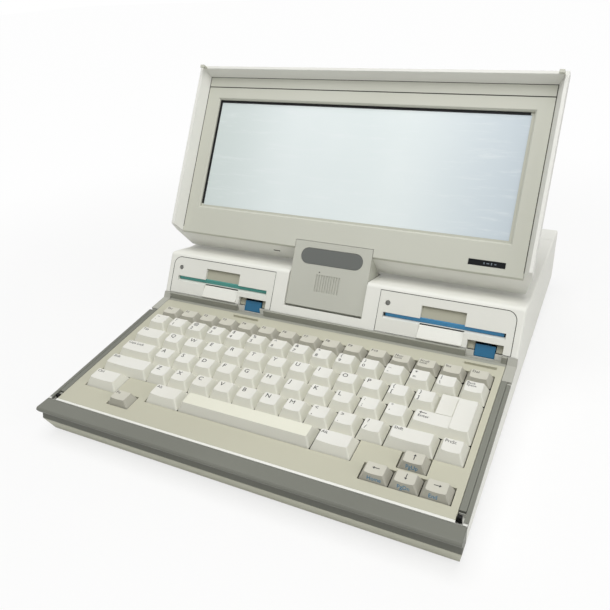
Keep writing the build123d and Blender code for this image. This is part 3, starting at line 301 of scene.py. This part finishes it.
def screen_frame_material():
    """Frame with painted shadow: black at the left and upper edges, where the gap round the screen lies in
    shadow; the right and lower edges are grey like the bezel round it.
    """
    material = surface("screen_frame_painted_shadow", FRAME_SHADOW_LOW, FRAME_SHADOW_HIGH, 0.5, 0.0, 0.0, shine=0.1)
    tree = material.node_tree
    x, along = place_on_lid(tree)
    # Bezel grey on the right and lower edges leaves the black painted shadow at the left and top
    right = faded(tree, x, *FRAME_RIGHT_BAND)
    low = value_node(tree, "SUBTRACT", 1.0, faded(tree, along, *FRAME_LOW_BAND))
    tinted(material, value_node(tree, "MAXIMUM", right, low), BEZEL_DARK)
    return material


MATERIALS = {
    "shell": shell_material(),
    "lid": surface("lid_plastic", shade(LID_WHITE, 0.95), LID_WHITE, 0.5, 0.12, 0.5, drift=4.0),
    "bezel": surface("bezel_plastic", BEZEL_DARK, BEZEL_GREY, 0.48, 0.12, 0.3, drift=5.0),
    "neck": surface("neck_plastic", shade(BEZEL_GREY, 0.855), shade(BEZEL_GREY, 0.915), 0.48, 0.12, 0.5),
    "drive_front": surface("drive_front_plastic", shade(DRIVE_WHITE, 0.96), DRIVE_WHITE, 0.45, 0.1, 0.4),
    "deck": surface("deck_plastic", shade(DECK_BEIGE, 0.95), DECK_BEIGE, 0.55, 0.18, 0.3),
    "side": surface("side_plastic", shade(SIDE_GREY, 0.95), SIDE_GREY, 0.55, 0.18, 0.3),
    "handle": surface("handle_plastic", shade(HANDLE_GREY, 0.92), HANDLE_GREY, 0.5, 0.2, 0.6),
    "strip": surface("strip_plastic", shade(HANDLE_GREY, 0.9), shade(HANDLE_GREY, 1.09), 0.5, 0.15, 0.2),
    # The side tone given to each key material is painted shade for the keycaps' sloping sides
    "key": key_material("key_plastic", KEY_WARM, KEY_CREAM, KEY_SIDE_SHADE, 0.45),
    "space": key_material("space_plastic", SPACE_LOW, SPACE_HIGH, shade(KEY_SIDE_SHADE, 0.9), 0.6),
    "key_grey": key_material(
        "grey_key_plastic", shade(KEY_GREY, 0.95), KEY_GREY, shade(KEY_GREY, 0.78), 0.45
    ),
    "black": surface("black_plastic", BLACK_LOW, BLACK_HIGH, 0.5, 0.1, 0.2, shine=0.1),
    "blue": surface("button_plastic", shade(BUTTON_BLUE, 0.9), BUTTON_BLUE, 0.38, 0.05, 0.8, coat=0.15),
    "disk_blue": surface("blue_disk_plastic", shade(DISK_BLUE, 0.9), DISK_BLUE, 0.4, 0.08, 0.6),
    "disk_green": surface("green_disk_plastic", shade(DISK_GREEN, 0.9), DISK_GREEN, 0.4, 0.08, 0.6),
    "screen_frame": screen_frame_material(),
    # Darker than the plastic itself, as the drives hang over it
    "wall": surface("wall_plastic", shade(BEZEL_DARK, 0.55), shade(BEZEL_DARK, 0.65), 0.5, 0.12, 0.3),
    # Painted shade: deck beige darkened, for the thumb recesses and the notches by the eject buttons
    "recess": surface("recess_painted_shade", shade(DECK_BEIGE, 0.78), shade(DECK_BEIGE, 0.86), 0.5, 0.12, 0.2),
    "seam": surface("seam_shade", (0.05, 0.05, 0.042), (0.07, 0.07, 0.06), 0.6, 0.0, 0.0, shine=0.1),
    "mark": surface("window_marks", (0.14, 0.17, 0.20), (0.18, 0.21, 0.24), 0.4, 0.0, 0.0),
    "badge": surface("badge_film", shade(BADGE_GREY, 0.94), BADGE_GREY, 0.4, 0.05, 0.2),
    "lamp": surface("lamp_lens", (0.12, 0.12, 0.11), (0.2, 0.2, 0.18), 0.3, 0.3, 0.2, coat=0.3, drift=300.0),
    "steel": surface("steel_plate", (0.42, 0.42, 0.43), (0.5, 0.5, 0.51), 0.38, 0.05, 0.2, metallic=1.0),
    "rubber": surface("foot_rubber", (0.02, 0.02, 0.02), (0.035, 0.035, 0.035), 0.75, 0.3, 0.4),
    "board": surface("board_resin", (0.02, 0.12, 0.05), (0.03, 0.16, 0.07), 0.45, 0.1, 0.1),
    "cell": surface("cell_case", (0.03, 0.03, 0.04), (0.05, 0.05, 0.06), 0.5, 0.1, 0.3),
    "screen": screen_material(),
    "clear": surface("smoked_cover", SMOKE_LOW, SMOKE_HIGH, 0.3, 0.0, 0.1, shine=0.1),
    "ink": surface("key_ink", INK, shade(INK, 1.3), 0.5, 0.0, 0.0),
    "ink_blue": surface("key_ink_blue", INK_BLUE, shade(INK_BLUE, 1.1), 0.5, 0.0, 0.0),
}

NODE_MATERIALS = {
    "base_shell": "shell",
    "rear_housing": "shell",
    "rear_cover": "shell",
    "side_blocks": "side",
    "recess_wall": "wall",
    "keyboard_deck": "deck",
    "key_plate": "black",
    "main_board": "board",
    "battery_pack": "cell",
    "feet": "rubber",
    "case_screws": "steel",
    "outer_strips": "strip",
    "inner_strips": "strip",
    "handle": "handle",
    "drive_bezel_left": "drive_front",
    "drive_bezel_right": "drive_front",
    "drive_left": "black",
    "drive_right": "black",
    "drive_lamps": "lamp",
    "hinge_pin": "steel",
    "hinge_brackets": "steel",
    "latch_slider_left": "black",
    "latch_slider_right": "black",
    "diskette_left": "disk_green",
    "diskette_right": "disk_blue",
    "eject_button_left": "blue",
    "eject_button_right": "blue",
    "lid_shell": "lid",
    "lid_bezel": "bezel",
    "lid_hooks": "bezel",
    "indicator_window": "clear",
    "lcd_frame": "screen_frame",
    "lcd_panel": "screen",
    "neck_cover": "neck",
    "neck_core": "neck",
    "badge_plate": "badge",
}
GREY_KEYS = ("keys_function", "key_fn", "key_arrow_left", "key_arrow_down", "key_arrow_right", "key_arrow_up")


def material_for(node):
    """Material name of a CAD node."""
    if node in NODE_MATERIALS:
        return NODE_MATERIALS[node]
    if node in GREY_KEYS:
        return "key_grey"
    return "space" if node == "key_space" else "key"


for node, piece in NODES.items():
    piece.data.materials.clear()
    piece.data.materials.append(MATERIALS[material_for(node)])


def new_piece(name, mesh, material, body):
    """Mesh piece that rides on a body."""
    piece = bpy.data.objects.new(name, mesh)
    bpy.context.scene.collection.objects.link(piece)
    piece.data.materials.append(MATERIALS[material])
    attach(piece, body)


# Key legends: sizes and places on a cap
CAP_RIM = 0.9 * MM
CAST_HEIGHT = 0.03
MISSED_DROP = 0.024
LEGEND_PROUD = 0.05 * MM
CURVE_STEPS = 3
LINE_SPACING = 0.8
STROKE = 0.006
ARROW_HEAD = 0.3
ARROW_SHAFT = 0.055
ARROW_BARB = 0.72
ARROW_SIZE = 4.6 * MM
ARROW_DROP = 3.6 * MM
WORD_SLOPE = 0.32
SLOPE_WORD_SIZE = 3.6 * MM
SLOPE_WORD_HALF = 3.9 * MM
SLOPE_WORD_DROP = 1.3 * MM
LETTER_SIZE = 5.2 * MM
LETTER_DROP = 1.1 * MM
LETTER_HEIGHT = 0.72
SIGN_SIZE = 4.4 * MM
SIGN_DROP = 0.8 * MM
SIGN_RISE = 1.3 * MM
SIGN_HEIGHT = 0.7
WORD_SIZE = 3.4 * MM
WORD_DROP = 0.9 * MM
WORD_MARGIN = 0.8 * MM
SMALL_SIZE = 2.9 * MM
MARGIN = 1.5 * MM
ENTER_ARROW_SIZE = 5.0 * MM
ENTER_ARROW_PLACE = (4.6 * MM, 8.4 * MM)
ENTER_WORD_PLACE = (2.0 * MM, 4.4 * MM)


def key_tops(node):
    """Top face of each cap in a node, from left to right: x range, along range, height."""
    mesh = bmesh.new()
    mesh.from_mesh(NODES[node].data)
    bmesh.ops.remove_doubles(mesh, verts=mesh.verts, dist=1e-6)
    left = set(mesh.verts)
    tops = []
    while left:
        group = [left.pop()]
        island = []
        while group:
            vertex = group.pop()
            island.append(vertex.co - DECK_ORIGIN)
            for edge in vertex.link_edges:
                other = edge.other_vert(vertex)
                if other in left:
                    left.remove(other)
                    group.append(other)
        height = max(point.dot(DECK_UP) for point in island)
        rim = [point for point in island if point.dot(DECK_UP) > height - CAP_RIM]
        xs = [point.x for point in rim]
        along = [point.dot(DECK_ALONG) for point in rim]
        tops.append((min(xs), max(xs), min(along), max(along), height))
    mesh.free()
    return sorted(tops)


def body_of(node):
    """Body that a node rides on."""
    return NODES[node]["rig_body"]


def surface_tree(mesh):
    """Surface of a mesh, to find where a line meets it."""
    points = [vertex.co for vertex in mesh.vertices]
    return BVHTree.FromPolygons(points, [face.vertices for face in mesh.polygons])


def text_mesh(text, size):
    """Flat filled outline of a short text, with its corner at the origin."""
    curve = bpy.data.curves.new("legend", "FONT")
    curve.body = text
    curve.size = size
    curve.offset = 0.0 if "M" in text else STROKE * size
    curve.resolution_u = CURVE_STEPS
    curve.space_line = LINE_SPACING
    holder = bpy.data.objects.new("legend", curve)
    bpy.context.scene.collection.objects.link(holder)
    bpy.context.view_layer.update()
    graph = bpy.context.evaluated_depsgraph_get()
    mesh = bpy.data.meshes.new_from_object(holder.evaluated_get(graph))
    bpy.data.objects.remove(holder)
    return mesh


def put_on_key(target, tree, mesh, x, along, squeeze):
    """Adds a flat outline to a mesh, laid on the key below it and shortened along it by a factor."""
    start = len(target["vertices"])
    for vertex in mesh.vertices:
        flat_x = x + vertex.co.x
        flat_along = along + vertex.co.y * squeeze
        above = DECK_ORIGIN + Vector((flat_x, 0, 0)) + DECK_ALONG * flat_along + DECK_UP * CAST_HEIGHT
        hit = tree.ray_cast(above, -DECK_UP)[0]
        if hit is None:
            hit = above - DECK_UP * MISSED_DROP
        target["vertices"].append(hit + DECK_UP * LEGEND_PROUD)
    for face in mesh.polygons:
        target["faces"].append([start + i for i in face.vertices])


def arrow_mesh(direction, length):
    """Flat arrow that points left, right, up or down, centred on the origin."""
    half, head, thin = length / 2, length * ARROW_HEAD, length * ARROW_SHAFT
    barb = head * ARROW_BARB
    points = [(-half, -thin), (half - head, -thin), (half - head, -barb), (half, 0)]
    points += [(half - head, barb), (half - head, thin), (-half, thin)]
    turn = {"right": 0, "up": 90, "left": 180, "down": 270}[direction]
    c, d = cos(radians(turn)), sin(radians(turn))
    mesh = bpy.data.meshes.new("arrow")
    turned = [(x * c - y * d, x * d + y * c, 0) for x, y in points]
    mesh.from_pydata(turned, [], [(0, 1, 5, 6), (1, 2, 3, 4, 5)])
    return mesh


def legend_piece(name, node, entries, material, squeeze=1.0):
    """One piece with all the legends of a node: text, size, x and along for each. ">left" is an arrow."""
    tree = surface_tree(NODES[node].data)
    target = {"vertices": [], "faces": []}
    for text, size, x, along in entries:
        is_arrow = text.startswith(">") and len(text) > 1
        outline = arrow_mesh(text[1:], size) if is_arrow else text_mesh(text, size)
        put_on_key(target, tree, outline, x, along, squeeze)
    mesh = bpy.data.meshes.new(name)
    mesh.from_pydata(target["vertices"], [], target["faces"])
    new_piece(name, mesh, material, body_of(node))


# Legends of the rows, from left to right. A pair is an upper and a lower sign.
ROW_LEGENDS = {
    "keys_function": ["Esc", "F1", "F2", "F3", "F4", "F5", "F6", "F7", "F8", "F9", "F10"]
    + ["Num\nLock", "Scroll\nLock", "Ins", "Del"],
    "keys_number": [("~", "`"), ("!", "1"), ("@", "2"), ("#", "3"), ("$", "4"), ("%", "5"), ("^", "6")]
    + [("&", "7"), ("*", "8"), ("(", "9"), (")", "0"), ("_", "-"), ("+", "="), ("|", "\\"), "Back\nSpace"],
    "keys_upper": list("QWERTYUIOP") + [("{", "["), ("}", "]")],
    "keys_home": list("ASDFGHJKL") + [(":", ";"), ('"', "'")],
    "keys_lower": list("ZXCVBNM") + [("<", ","), (">", "."), ("?", "/")],
}
SINGLE_LEGENDS = {
    "key_tab": "Tab",
    "key_caps": "Caps Lock",
    "key_shift_left": "Shift",
    "key_shift_right": "Shift",
    "key_print": "PrtSc",
    "key_ctrl": "Ctrl",
    "key_fn": "Fn",
    "key_alt_left": "Alt",
    "key_alt_right": "Alt",
}
ARROW_LEGENDS = {
    "key_arrow_left": (">left", "Home"),
    "key_arrow_down": (">down", "PgDn"),
    "key_arrow_right": (">right", "End"),
    "key_arrow_up": (">up", "PgUp"),
}


def cap_entries(legend, top):
    """Entries of one cap: a letter, a pair of signs or a word."""
    left, right, front, back, height = top
    x = left + MARGIN
    if isinstance(legend, tuple):
        upper, lower = legend
        return [
            (upper, SIGN_SIZE, x, back - SIGN_DROP - SIGN_HEIGHT * SIGN_SIZE),
            (lower, SIGN_SIZE, x, front + SIGN_RISE),
        ]
    if len(legend) == 1:
        return [(legend, LETTER_SIZE, x, back - LETTER_DROP - LETTER_HEIGHT * LETTER_SIZE)]
    size = SMALL_SIZE if "\n" in legend else WORD_SIZE
    return [(legend, size, left + WORD_MARGIN, back - WORD_DROP - LETTER_HEIGHT * size)]


for node, legends in ROW_LEGENDS.items():
    entries = []
    for legend, top in zip(legends, key_tops(node)):
        entries += cap_entries(legend, top)
    legend_piece("legends_" + node, node, entries, "ink")

for node, legend in SINGLE_LEGENDS.items():
    legend_piece("legend_" + node, node, cap_entries(legend, key_tops(node)[0]), "ink")

for node, (arrow, word) in ARROW_LEGENDS.items():
    left, right, front, back, height = key_tops(node)[0]
    middle = (left + right) / 2
    legend_piece("legend_" + node, node, [(arrow, ARROW_SIZE, middle, back - ARROW_DROP)], "ink")
    word_entry = (word, SLOPE_WORD_SIZE, middle - SLOPE_WORD_HALF, front - SLOPE_WORD_DROP)
    legend_piece("word_" + node, node, [word_entry], "ink_blue", WORD_SLOPE)

left, right, front, back, height = key_tops("key_enter")[0]
enter_entries = [
    (">left", ENTER_ARROW_SIZE, left + ENTER_ARROW_PLACE[0], front + ENTER_ARROW_PLACE[1]),
    ("Enter", WORD_SIZE, left + ENTER_WORD_PLACE[0], front + ENTER_WORD_PLACE[1]),
]
legend_piece("legend_key_enter", "key_enter", enter_entries, "ink")


# Seams, painted shade sheets and marks on the leaning planes, in millimetres

FASCIA = (FASCIA_ORIGIN, FASCIA_ALONG, FASCIA_OUT)
LID = (LID_ORIGIN, LID_ALONG, LID_OUT)
SEAM_DEPTH = 0.3
SEAM_PROUD = 0.04
DRIVE_SEAM_WIDTH = 0.5
LID_SEAM_WIDTH = 0.8
CORNER_STEPS = 8
THUMB_X = 97.4
THUMB_HALF = 16.9
THUMB_ALONG = (16.6, 25.4)
THUMB_OUT = (-2.3, -2.1)
NOTCHES = [(-77.4, -72.3), (-56.0, -51.6), (118.1, 123.4), (139.0, 143.9)]
NOTCH_ALONG = (0.6, 6.5)
NOTCH_OUT = (-4.6, -3.7)
LID_EDGE_X = 148.4
LID_EDGE_TOP = 137.8
LID_LINE = 128.7
FRAME_FACE = -9.5
MARKS = [(119.2, 0.8, 1.5), (121.4, 2.0, 0.7), (124.6, 0.8, 1.7), (127.0, 1.5, 0.7)]
MARK_ALONG = 3.4
MARK_DEPTH = 0.1
MARK_PROUD = 0.03
NECK_FACE = -1.5
PIN_HOLE_X = (-8.8, -7.8)
PIN_HOLE_ALONG = (37.6, 38.6)
PIN_HOLE_OUT = (NECK_FACE - 0.2, NECK_FACE + MARK_PROUD)
CHAMFER_SPOT = Vector((-0.056, -0.08, 0.084))
CHAMFER_SLOPE = Vector((0, 0.35, 1)).normalized()
CHAMFER_SLOT_HALF = (3.2, 0.6)
CHAMFER_SLOT_PROUD = 0.05 * MM


def on_plane(plane, x, along, out):
    """Point at a distance across, along and out of a leaning plane, given in millimetres."""
    origin, along_dir, out_dir = plane
    return origin + Vector((x, 0, 0)) * MM + along_dir * along * MM + out_dir * out * MM


def plate(mesh, plane, x_range, along, out):
    """Adds a block whose faces follow a leaning plane."""
    verts = []
    for o in out:
        for x, a in ((0, 0), (1, 0), (1, 1), (0, 1)):
            verts.append(mesh.verts.new(on_plane(plane, x_range[x], along[a], o)))
    low, high = verts[:4], verts[4:]
    mesh.faces.new(reversed(low))
    mesh.faces.new(high)
    for i in range(4):
        j = (i + 1) % 4
        mesh.faces.new((low[i], low[j], high[j], high[i]))


def finished(name, mesh, material, body):
    """Turns a mesh that was built up into a piece, with its faces pointing outwards."""
    data = bpy.data.meshes.new(name)
    bmesh.ops.recalc_face_normals(mesh, faces=mesh.faces)
    mesh.to_mesh(data)
    mesh.free()
    new_piece(name, data, material, body)


def plates(name, plane, boxes, material, body):
    """One piece made of several blocks on a leaning plane."""
    mesh = bmesh.new()
    for x_range, along, out in boxes:
        plate(mesh, plane, x_range, along, out)
    finished(name, mesh, material, body)


def band(mesh, plane, points, width, out):
    """Adds a thin raised band along an open line of (x, along) points."""
    sides = []
    for i, point in enumerate(points):
        before = Vector(points[max(i - 1, 0)])
        after = Vector(points[min(i + 1, len(points) - 1)])
        direction = (after - before).normalized()
        across = Vector((-direction.y, direction.x)) * width / 2
        sides.append([Vector(point) + across, Vector(point) - across])
    rings = []
    for left, right in sides:
        ring = []
        for spot, height in ((left, out[1]), (right, out[1]), (right, out[0]), (left, out[0])):
            ring.append(mesh.verts.new(on_plane(plane, spot.x, spot.y, height)))
        rings.append(ring)
    for ring, following in zip(rings, rings[1:]):
        for i in range(4):
            j = (i + 1) % 4
            mesh.faces.new((ring[i], ring[j], following[j], following[i]))
    mesh.faces.new(reversed(rings[0]))
    mesh.faces.new(rings[-1])


def bands(name, plane, lines, width, out, material, body):
    """One piece made of several thin bands."""
    mesh = bmesh.new()
    for points in lines:
        band(mesh, plane, points, width, out)
    finished(name, mesh, material, body)


def bezel_line(side):
    """Outline of one drive front, open at the bottom, with its round outer corner."""
    inner, outer, low, high, radius = 46.45, 149.65, 0.3, 32.5, 7.2
    points = [(side * inner, low), (side * inner, high), (side * (outer - radius), high)]
    for step in range(1, CORNER_STEPS):
        angle = radians(90 * step / CORNER_STEPS)
        points.append((side * (outer - radius + radius * sin(angle)), high - radius + radius * cos(angle)))
    points += [(side * outer, high - radius), (side * outer, low)]
    return points


drive_lines = [bezel_line(-1), bezel_line(1)]
bands("drive_seams", FASCIA, drive_lines, DRIVE_SEAM_WIDTH, (-SEAM_DEPTH, SEAM_PROUD), "seam", "base")

# Painted shade: darker sheets in the thumb recesses above the slots
thumb_shades = []
for side in (-1, 1):
    thumb = (side * THUMB_X - THUMB_HALF, side * THUMB_X + THUMB_HALF)
    thumb_shades.append((thumb, THUMB_ALONG, THUMB_OUT))
plates("thumb_recess_shade", FASCIA, thumb_shades, "recess", "base")

# Painted shade: darker sheets in the notches beside the eject buttons
notch_boxes = [(x_range, NOTCH_ALONG, NOTCH_OUT) for x_range in NOTCHES]
plates("notch_painted_shade", FASCIA, notch_boxes, "recess", "base")

lid_lines = [
    [(-LID_EDGE_X, 0.0), (-LID_EDGE_X, LID_EDGE_TOP)],
    [(LID_EDGE_X, 0.0), (LID_EDGE_X, LID_EDGE_TOP)],
    [(-LID_EDGE_X, LID_EDGE_TOP), (LID_EDGE_X, LID_EDGE_TOP)],
    [(-LID_EDGE_X, LID_LINE), (LID_EDGE_X, LID_LINE)],
]
lid_seam_out = (FRAME_FACE - SEAM_DEPTH, FRAME_FACE + SEAM_PROUD)
bands("lid_seams", LID, lid_lines, LID_SEAM_WIDTH, lid_seam_out, "seam", "lid")

window = NODES["indicator_window"].data
window_face = max((vertex.co - LID_ORIGIN).dot(LID_OUT) for vertex in window.vertices) / MM
mark_out = (window_face - MARK_DEPTH, window_face + MARK_PROUD)
marks = []
for x, width, height in MARKS:
    marks.append(((x, x + width), (MARK_ALONG - height / 2, MARK_ALONG + height / 2), mark_out))
plates("indicator_marks", LID, marks, "mark", "lid")
plates("neck_pin_hole", FASCIA, [(PIN_HOLE_X, PIN_HOLE_ALONG, PIN_HOLE_OUT)], "seam", "lid")


def chamfer_slot():
    """Small dark slot in the lid's lower chamfer, laid on its surface."""
    tree = surface_tree(NODES["lid_shell"].data)
    half_width, half_height = CHAMFER_SLOT_HALF
    corners = []
    for across, along in ((-1, -1), (1, -1), (1, 1), (-1, 1)):
        shift = Vector((across * half_width, 0, 0)) * MM + CHAMFER_SLOPE * (along * half_height) * MM
        hit, normal = tree.ray_cast(CHAMFER_SPOT + shift, Vector((0, 1, 0)))[:2]
        if hit is None:
            return
        corners.append(hit + normal * CHAMFER_SLOT_PROUD)
    mesh = bpy.data.meshes.new("chamfer_slot")
    mesh.from_pydata(corners, [], [(0, 1, 2, 3)])
    new_piece("chamfer_slot", mesh, "seam", "lid")


chamfer_slot()


# Floor, lights and camera
FLOOR_REACH = 6.0
FLOOR_TONE = (0.86, 0.86, 0.85, 1)
FLOOR_ROUGHNESS = 0.9
FLOOR_SHINE = 0.1
FLOOR_WHITE_BAND = (0.2, 0.75)
FLOOR_WHITE_NEAR = 0.72
FLOOR_WHITE_GAIN = 0.26
WHITE = (1, 1, 1, 1)
SKY_LIGHT = 0.33
LIGHT_AIM = Vector((0, 0, 0.08))
SOFTBOXES = [
    ("top_light", (0.05, -0.3, 1.5), 1.2, 17.5),
    ("right_light", (1.5, -0.35, 0.75), 0.9, 5.5),
]
CAMERA_LENS = 37.14
CAMERA_SENSOR = 36.0
CAMERA_NEAR = 0.01
CAMERA_AZIMUTH = radians(27.62)
CAMERA_ELEVATION = radians(28.33)
CAMERA_ROLL = radians(-3.47)
CAMERA_PLACE = (0.1951, -0.4221, 0.2990)


def floor():
    """Pale floor that keeps a soft shadow and looks white to the camera."""
    mesh = bpy.data.meshes.new("floor")
    corners = [(x * FLOOR_REACH, y * FLOOR_REACH, 0) for x, y in ((-1, -1), (1, -1), (1, 1), (-1, 1))]
    mesh.from_pydata(corners, [], [(0, 1, 2, 3)])
    piece = bpy.data.objects.new("floor", mesh)
    bpy.context.scene.collection.objects.link(piece)
    material = bpy.data.materials.new("floor_white")
    material.use_nodes = True
    tree = material.node_tree
    shader = tree.nodes["Principled BSDF"]
    shader.inputs["Base Color"].default_value = FLOOR_TONE
    shader.inputs["Roughness"].default_value = FLOOR_ROUGHNESS
    shader.inputs["Specular IOR Level"].default_value = FLOOR_SHINE
    glow = tree.nodes.new("ShaderNodeEmission")
    glow.inputs["Strength"].default_value = 1.0
    path = tree.nodes.new("ShaderNodeLightPath")
    coords = tree.nodes.new("ShaderNodeTexCoord")
    distance = tree.nodes.new("ShaderNodeVectorMath")
    distance.operation = "LENGTH"
    tree.links.new(coords.outputs["Object"], distance.inputs[0])
    away = faded(tree, distance.outputs["Value"], *FLOOR_WHITE_BAND)
    gain = value_node(tree, "MULTIPLY", away, FLOOR_WHITE_GAIN)
    share = value_node(tree, "ADD", gain, FLOOR_WHITE_NEAR)
    seen = value_node(tree, "MULTIPLY", path.outputs["Is Camera Ray"], share)
    blend = tree.nodes.new("ShaderNodeMixShader")
    tree.links.new(seen, blend.inputs["Fac"])
    tree.links.new(shader.outputs["BSDF"], blend.inputs[1])
    tree.links.new(glow.outputs["Emission"], blend.inputs[2])
    tree.links.new(blend.outputs["Shader"], tree.nodes["Material Output"].inputs["Surface"])
    mesh.materials.append(material)


def world():
    """Even soft surroundings, white where the camera or a reflection sees them."""
    sky = bpy.data.worlds.new("studio")
    bpy.context.scene.world = sky
    sky.use_nodes = True
    tree = sky.node_tree
    soft = tree.nodes["Background"]
    soft.inputs["Color"].default_value = WHITE
    soft.inputs["Strength"].default_value = SKY_LIGHT
    white = tree.nodes.new("ShaderNodeBackground")
    white.inputs["Color"].default_value = WHITE
    white.inputs["Strength"].default_value = 1.0
    path = tree.nodes.new("ShaderNodeLightPath")
    either = tree.nodes.new("ShaderNodeMath")
    either.operation = "MAXIMUM"
    mix = tree.nodes.new("ShaderNodeMixShader")
    tree.links.new(path.outputs["Is Camera Ray"], either.inputs[0])
    tree.links.new(path.outputs["Is Glossy Ray"], either.inputs[1])
    tree.links.new(either.outputs["Value"], mix.inputs["Fac"])
    tree.links.new(soft.outputs["Background"], mix.inputs[1])
    tree.links.new(white.outputs["Background"], mix.inputs[2])
    tree.links.new(mix.outputs["Shader"], tree.nodes["World Output"].inputs["Surface"])


def softbox(name, location, size, power):
    """Large soft lamp that points at the middle of the machine."""
    lamp = bpy.data.lights.new(name, "AREA")
    lamp.shape = "SQUARE"
    lamp.size = size
    lamp.energy = power
    holder = bpy.data.objects.new(name, lamp)
    bpy.context.scene.collection.objects.link(holder)
    holder.location = location
    aim = LIGHT_AIM - Vector(location)
    holder.rotation_euler = aim.to_track_quat("-Z", "Y").to_euler()


def camera():
    """Camera at the photograph's place, angle and lens."""
    data = bpy.data.cameras.new("photo_camera")
    data.sensor_width = CAMERA_SENSOR
    data.lens = CAMERA_LENS
    data.clip_start = CAMERA_NEAR
    holder = bpy.data.objects.new("photo_camera", data)
    bpy.context.scene.collection.objects.link(holder)
    look = Euler((radians(90) - CAMERA_ELEVATION, 0, CAMERA_AZIMUTH)).to_matrix()
    holder.rotation_euler = (look @ Euler((0, 0, CAMERA_ROLL)).to_matrix()).to_euler()
    holder.location = CAMERA_PLACE
    bpy.context.scene.camera = holder


floor()
world()
for name, location, size, power in SOFTBOXES:
    softbox(name, location, size, power)
camera()
bpy.context.scene.view_settings.view_transform = "Standard"
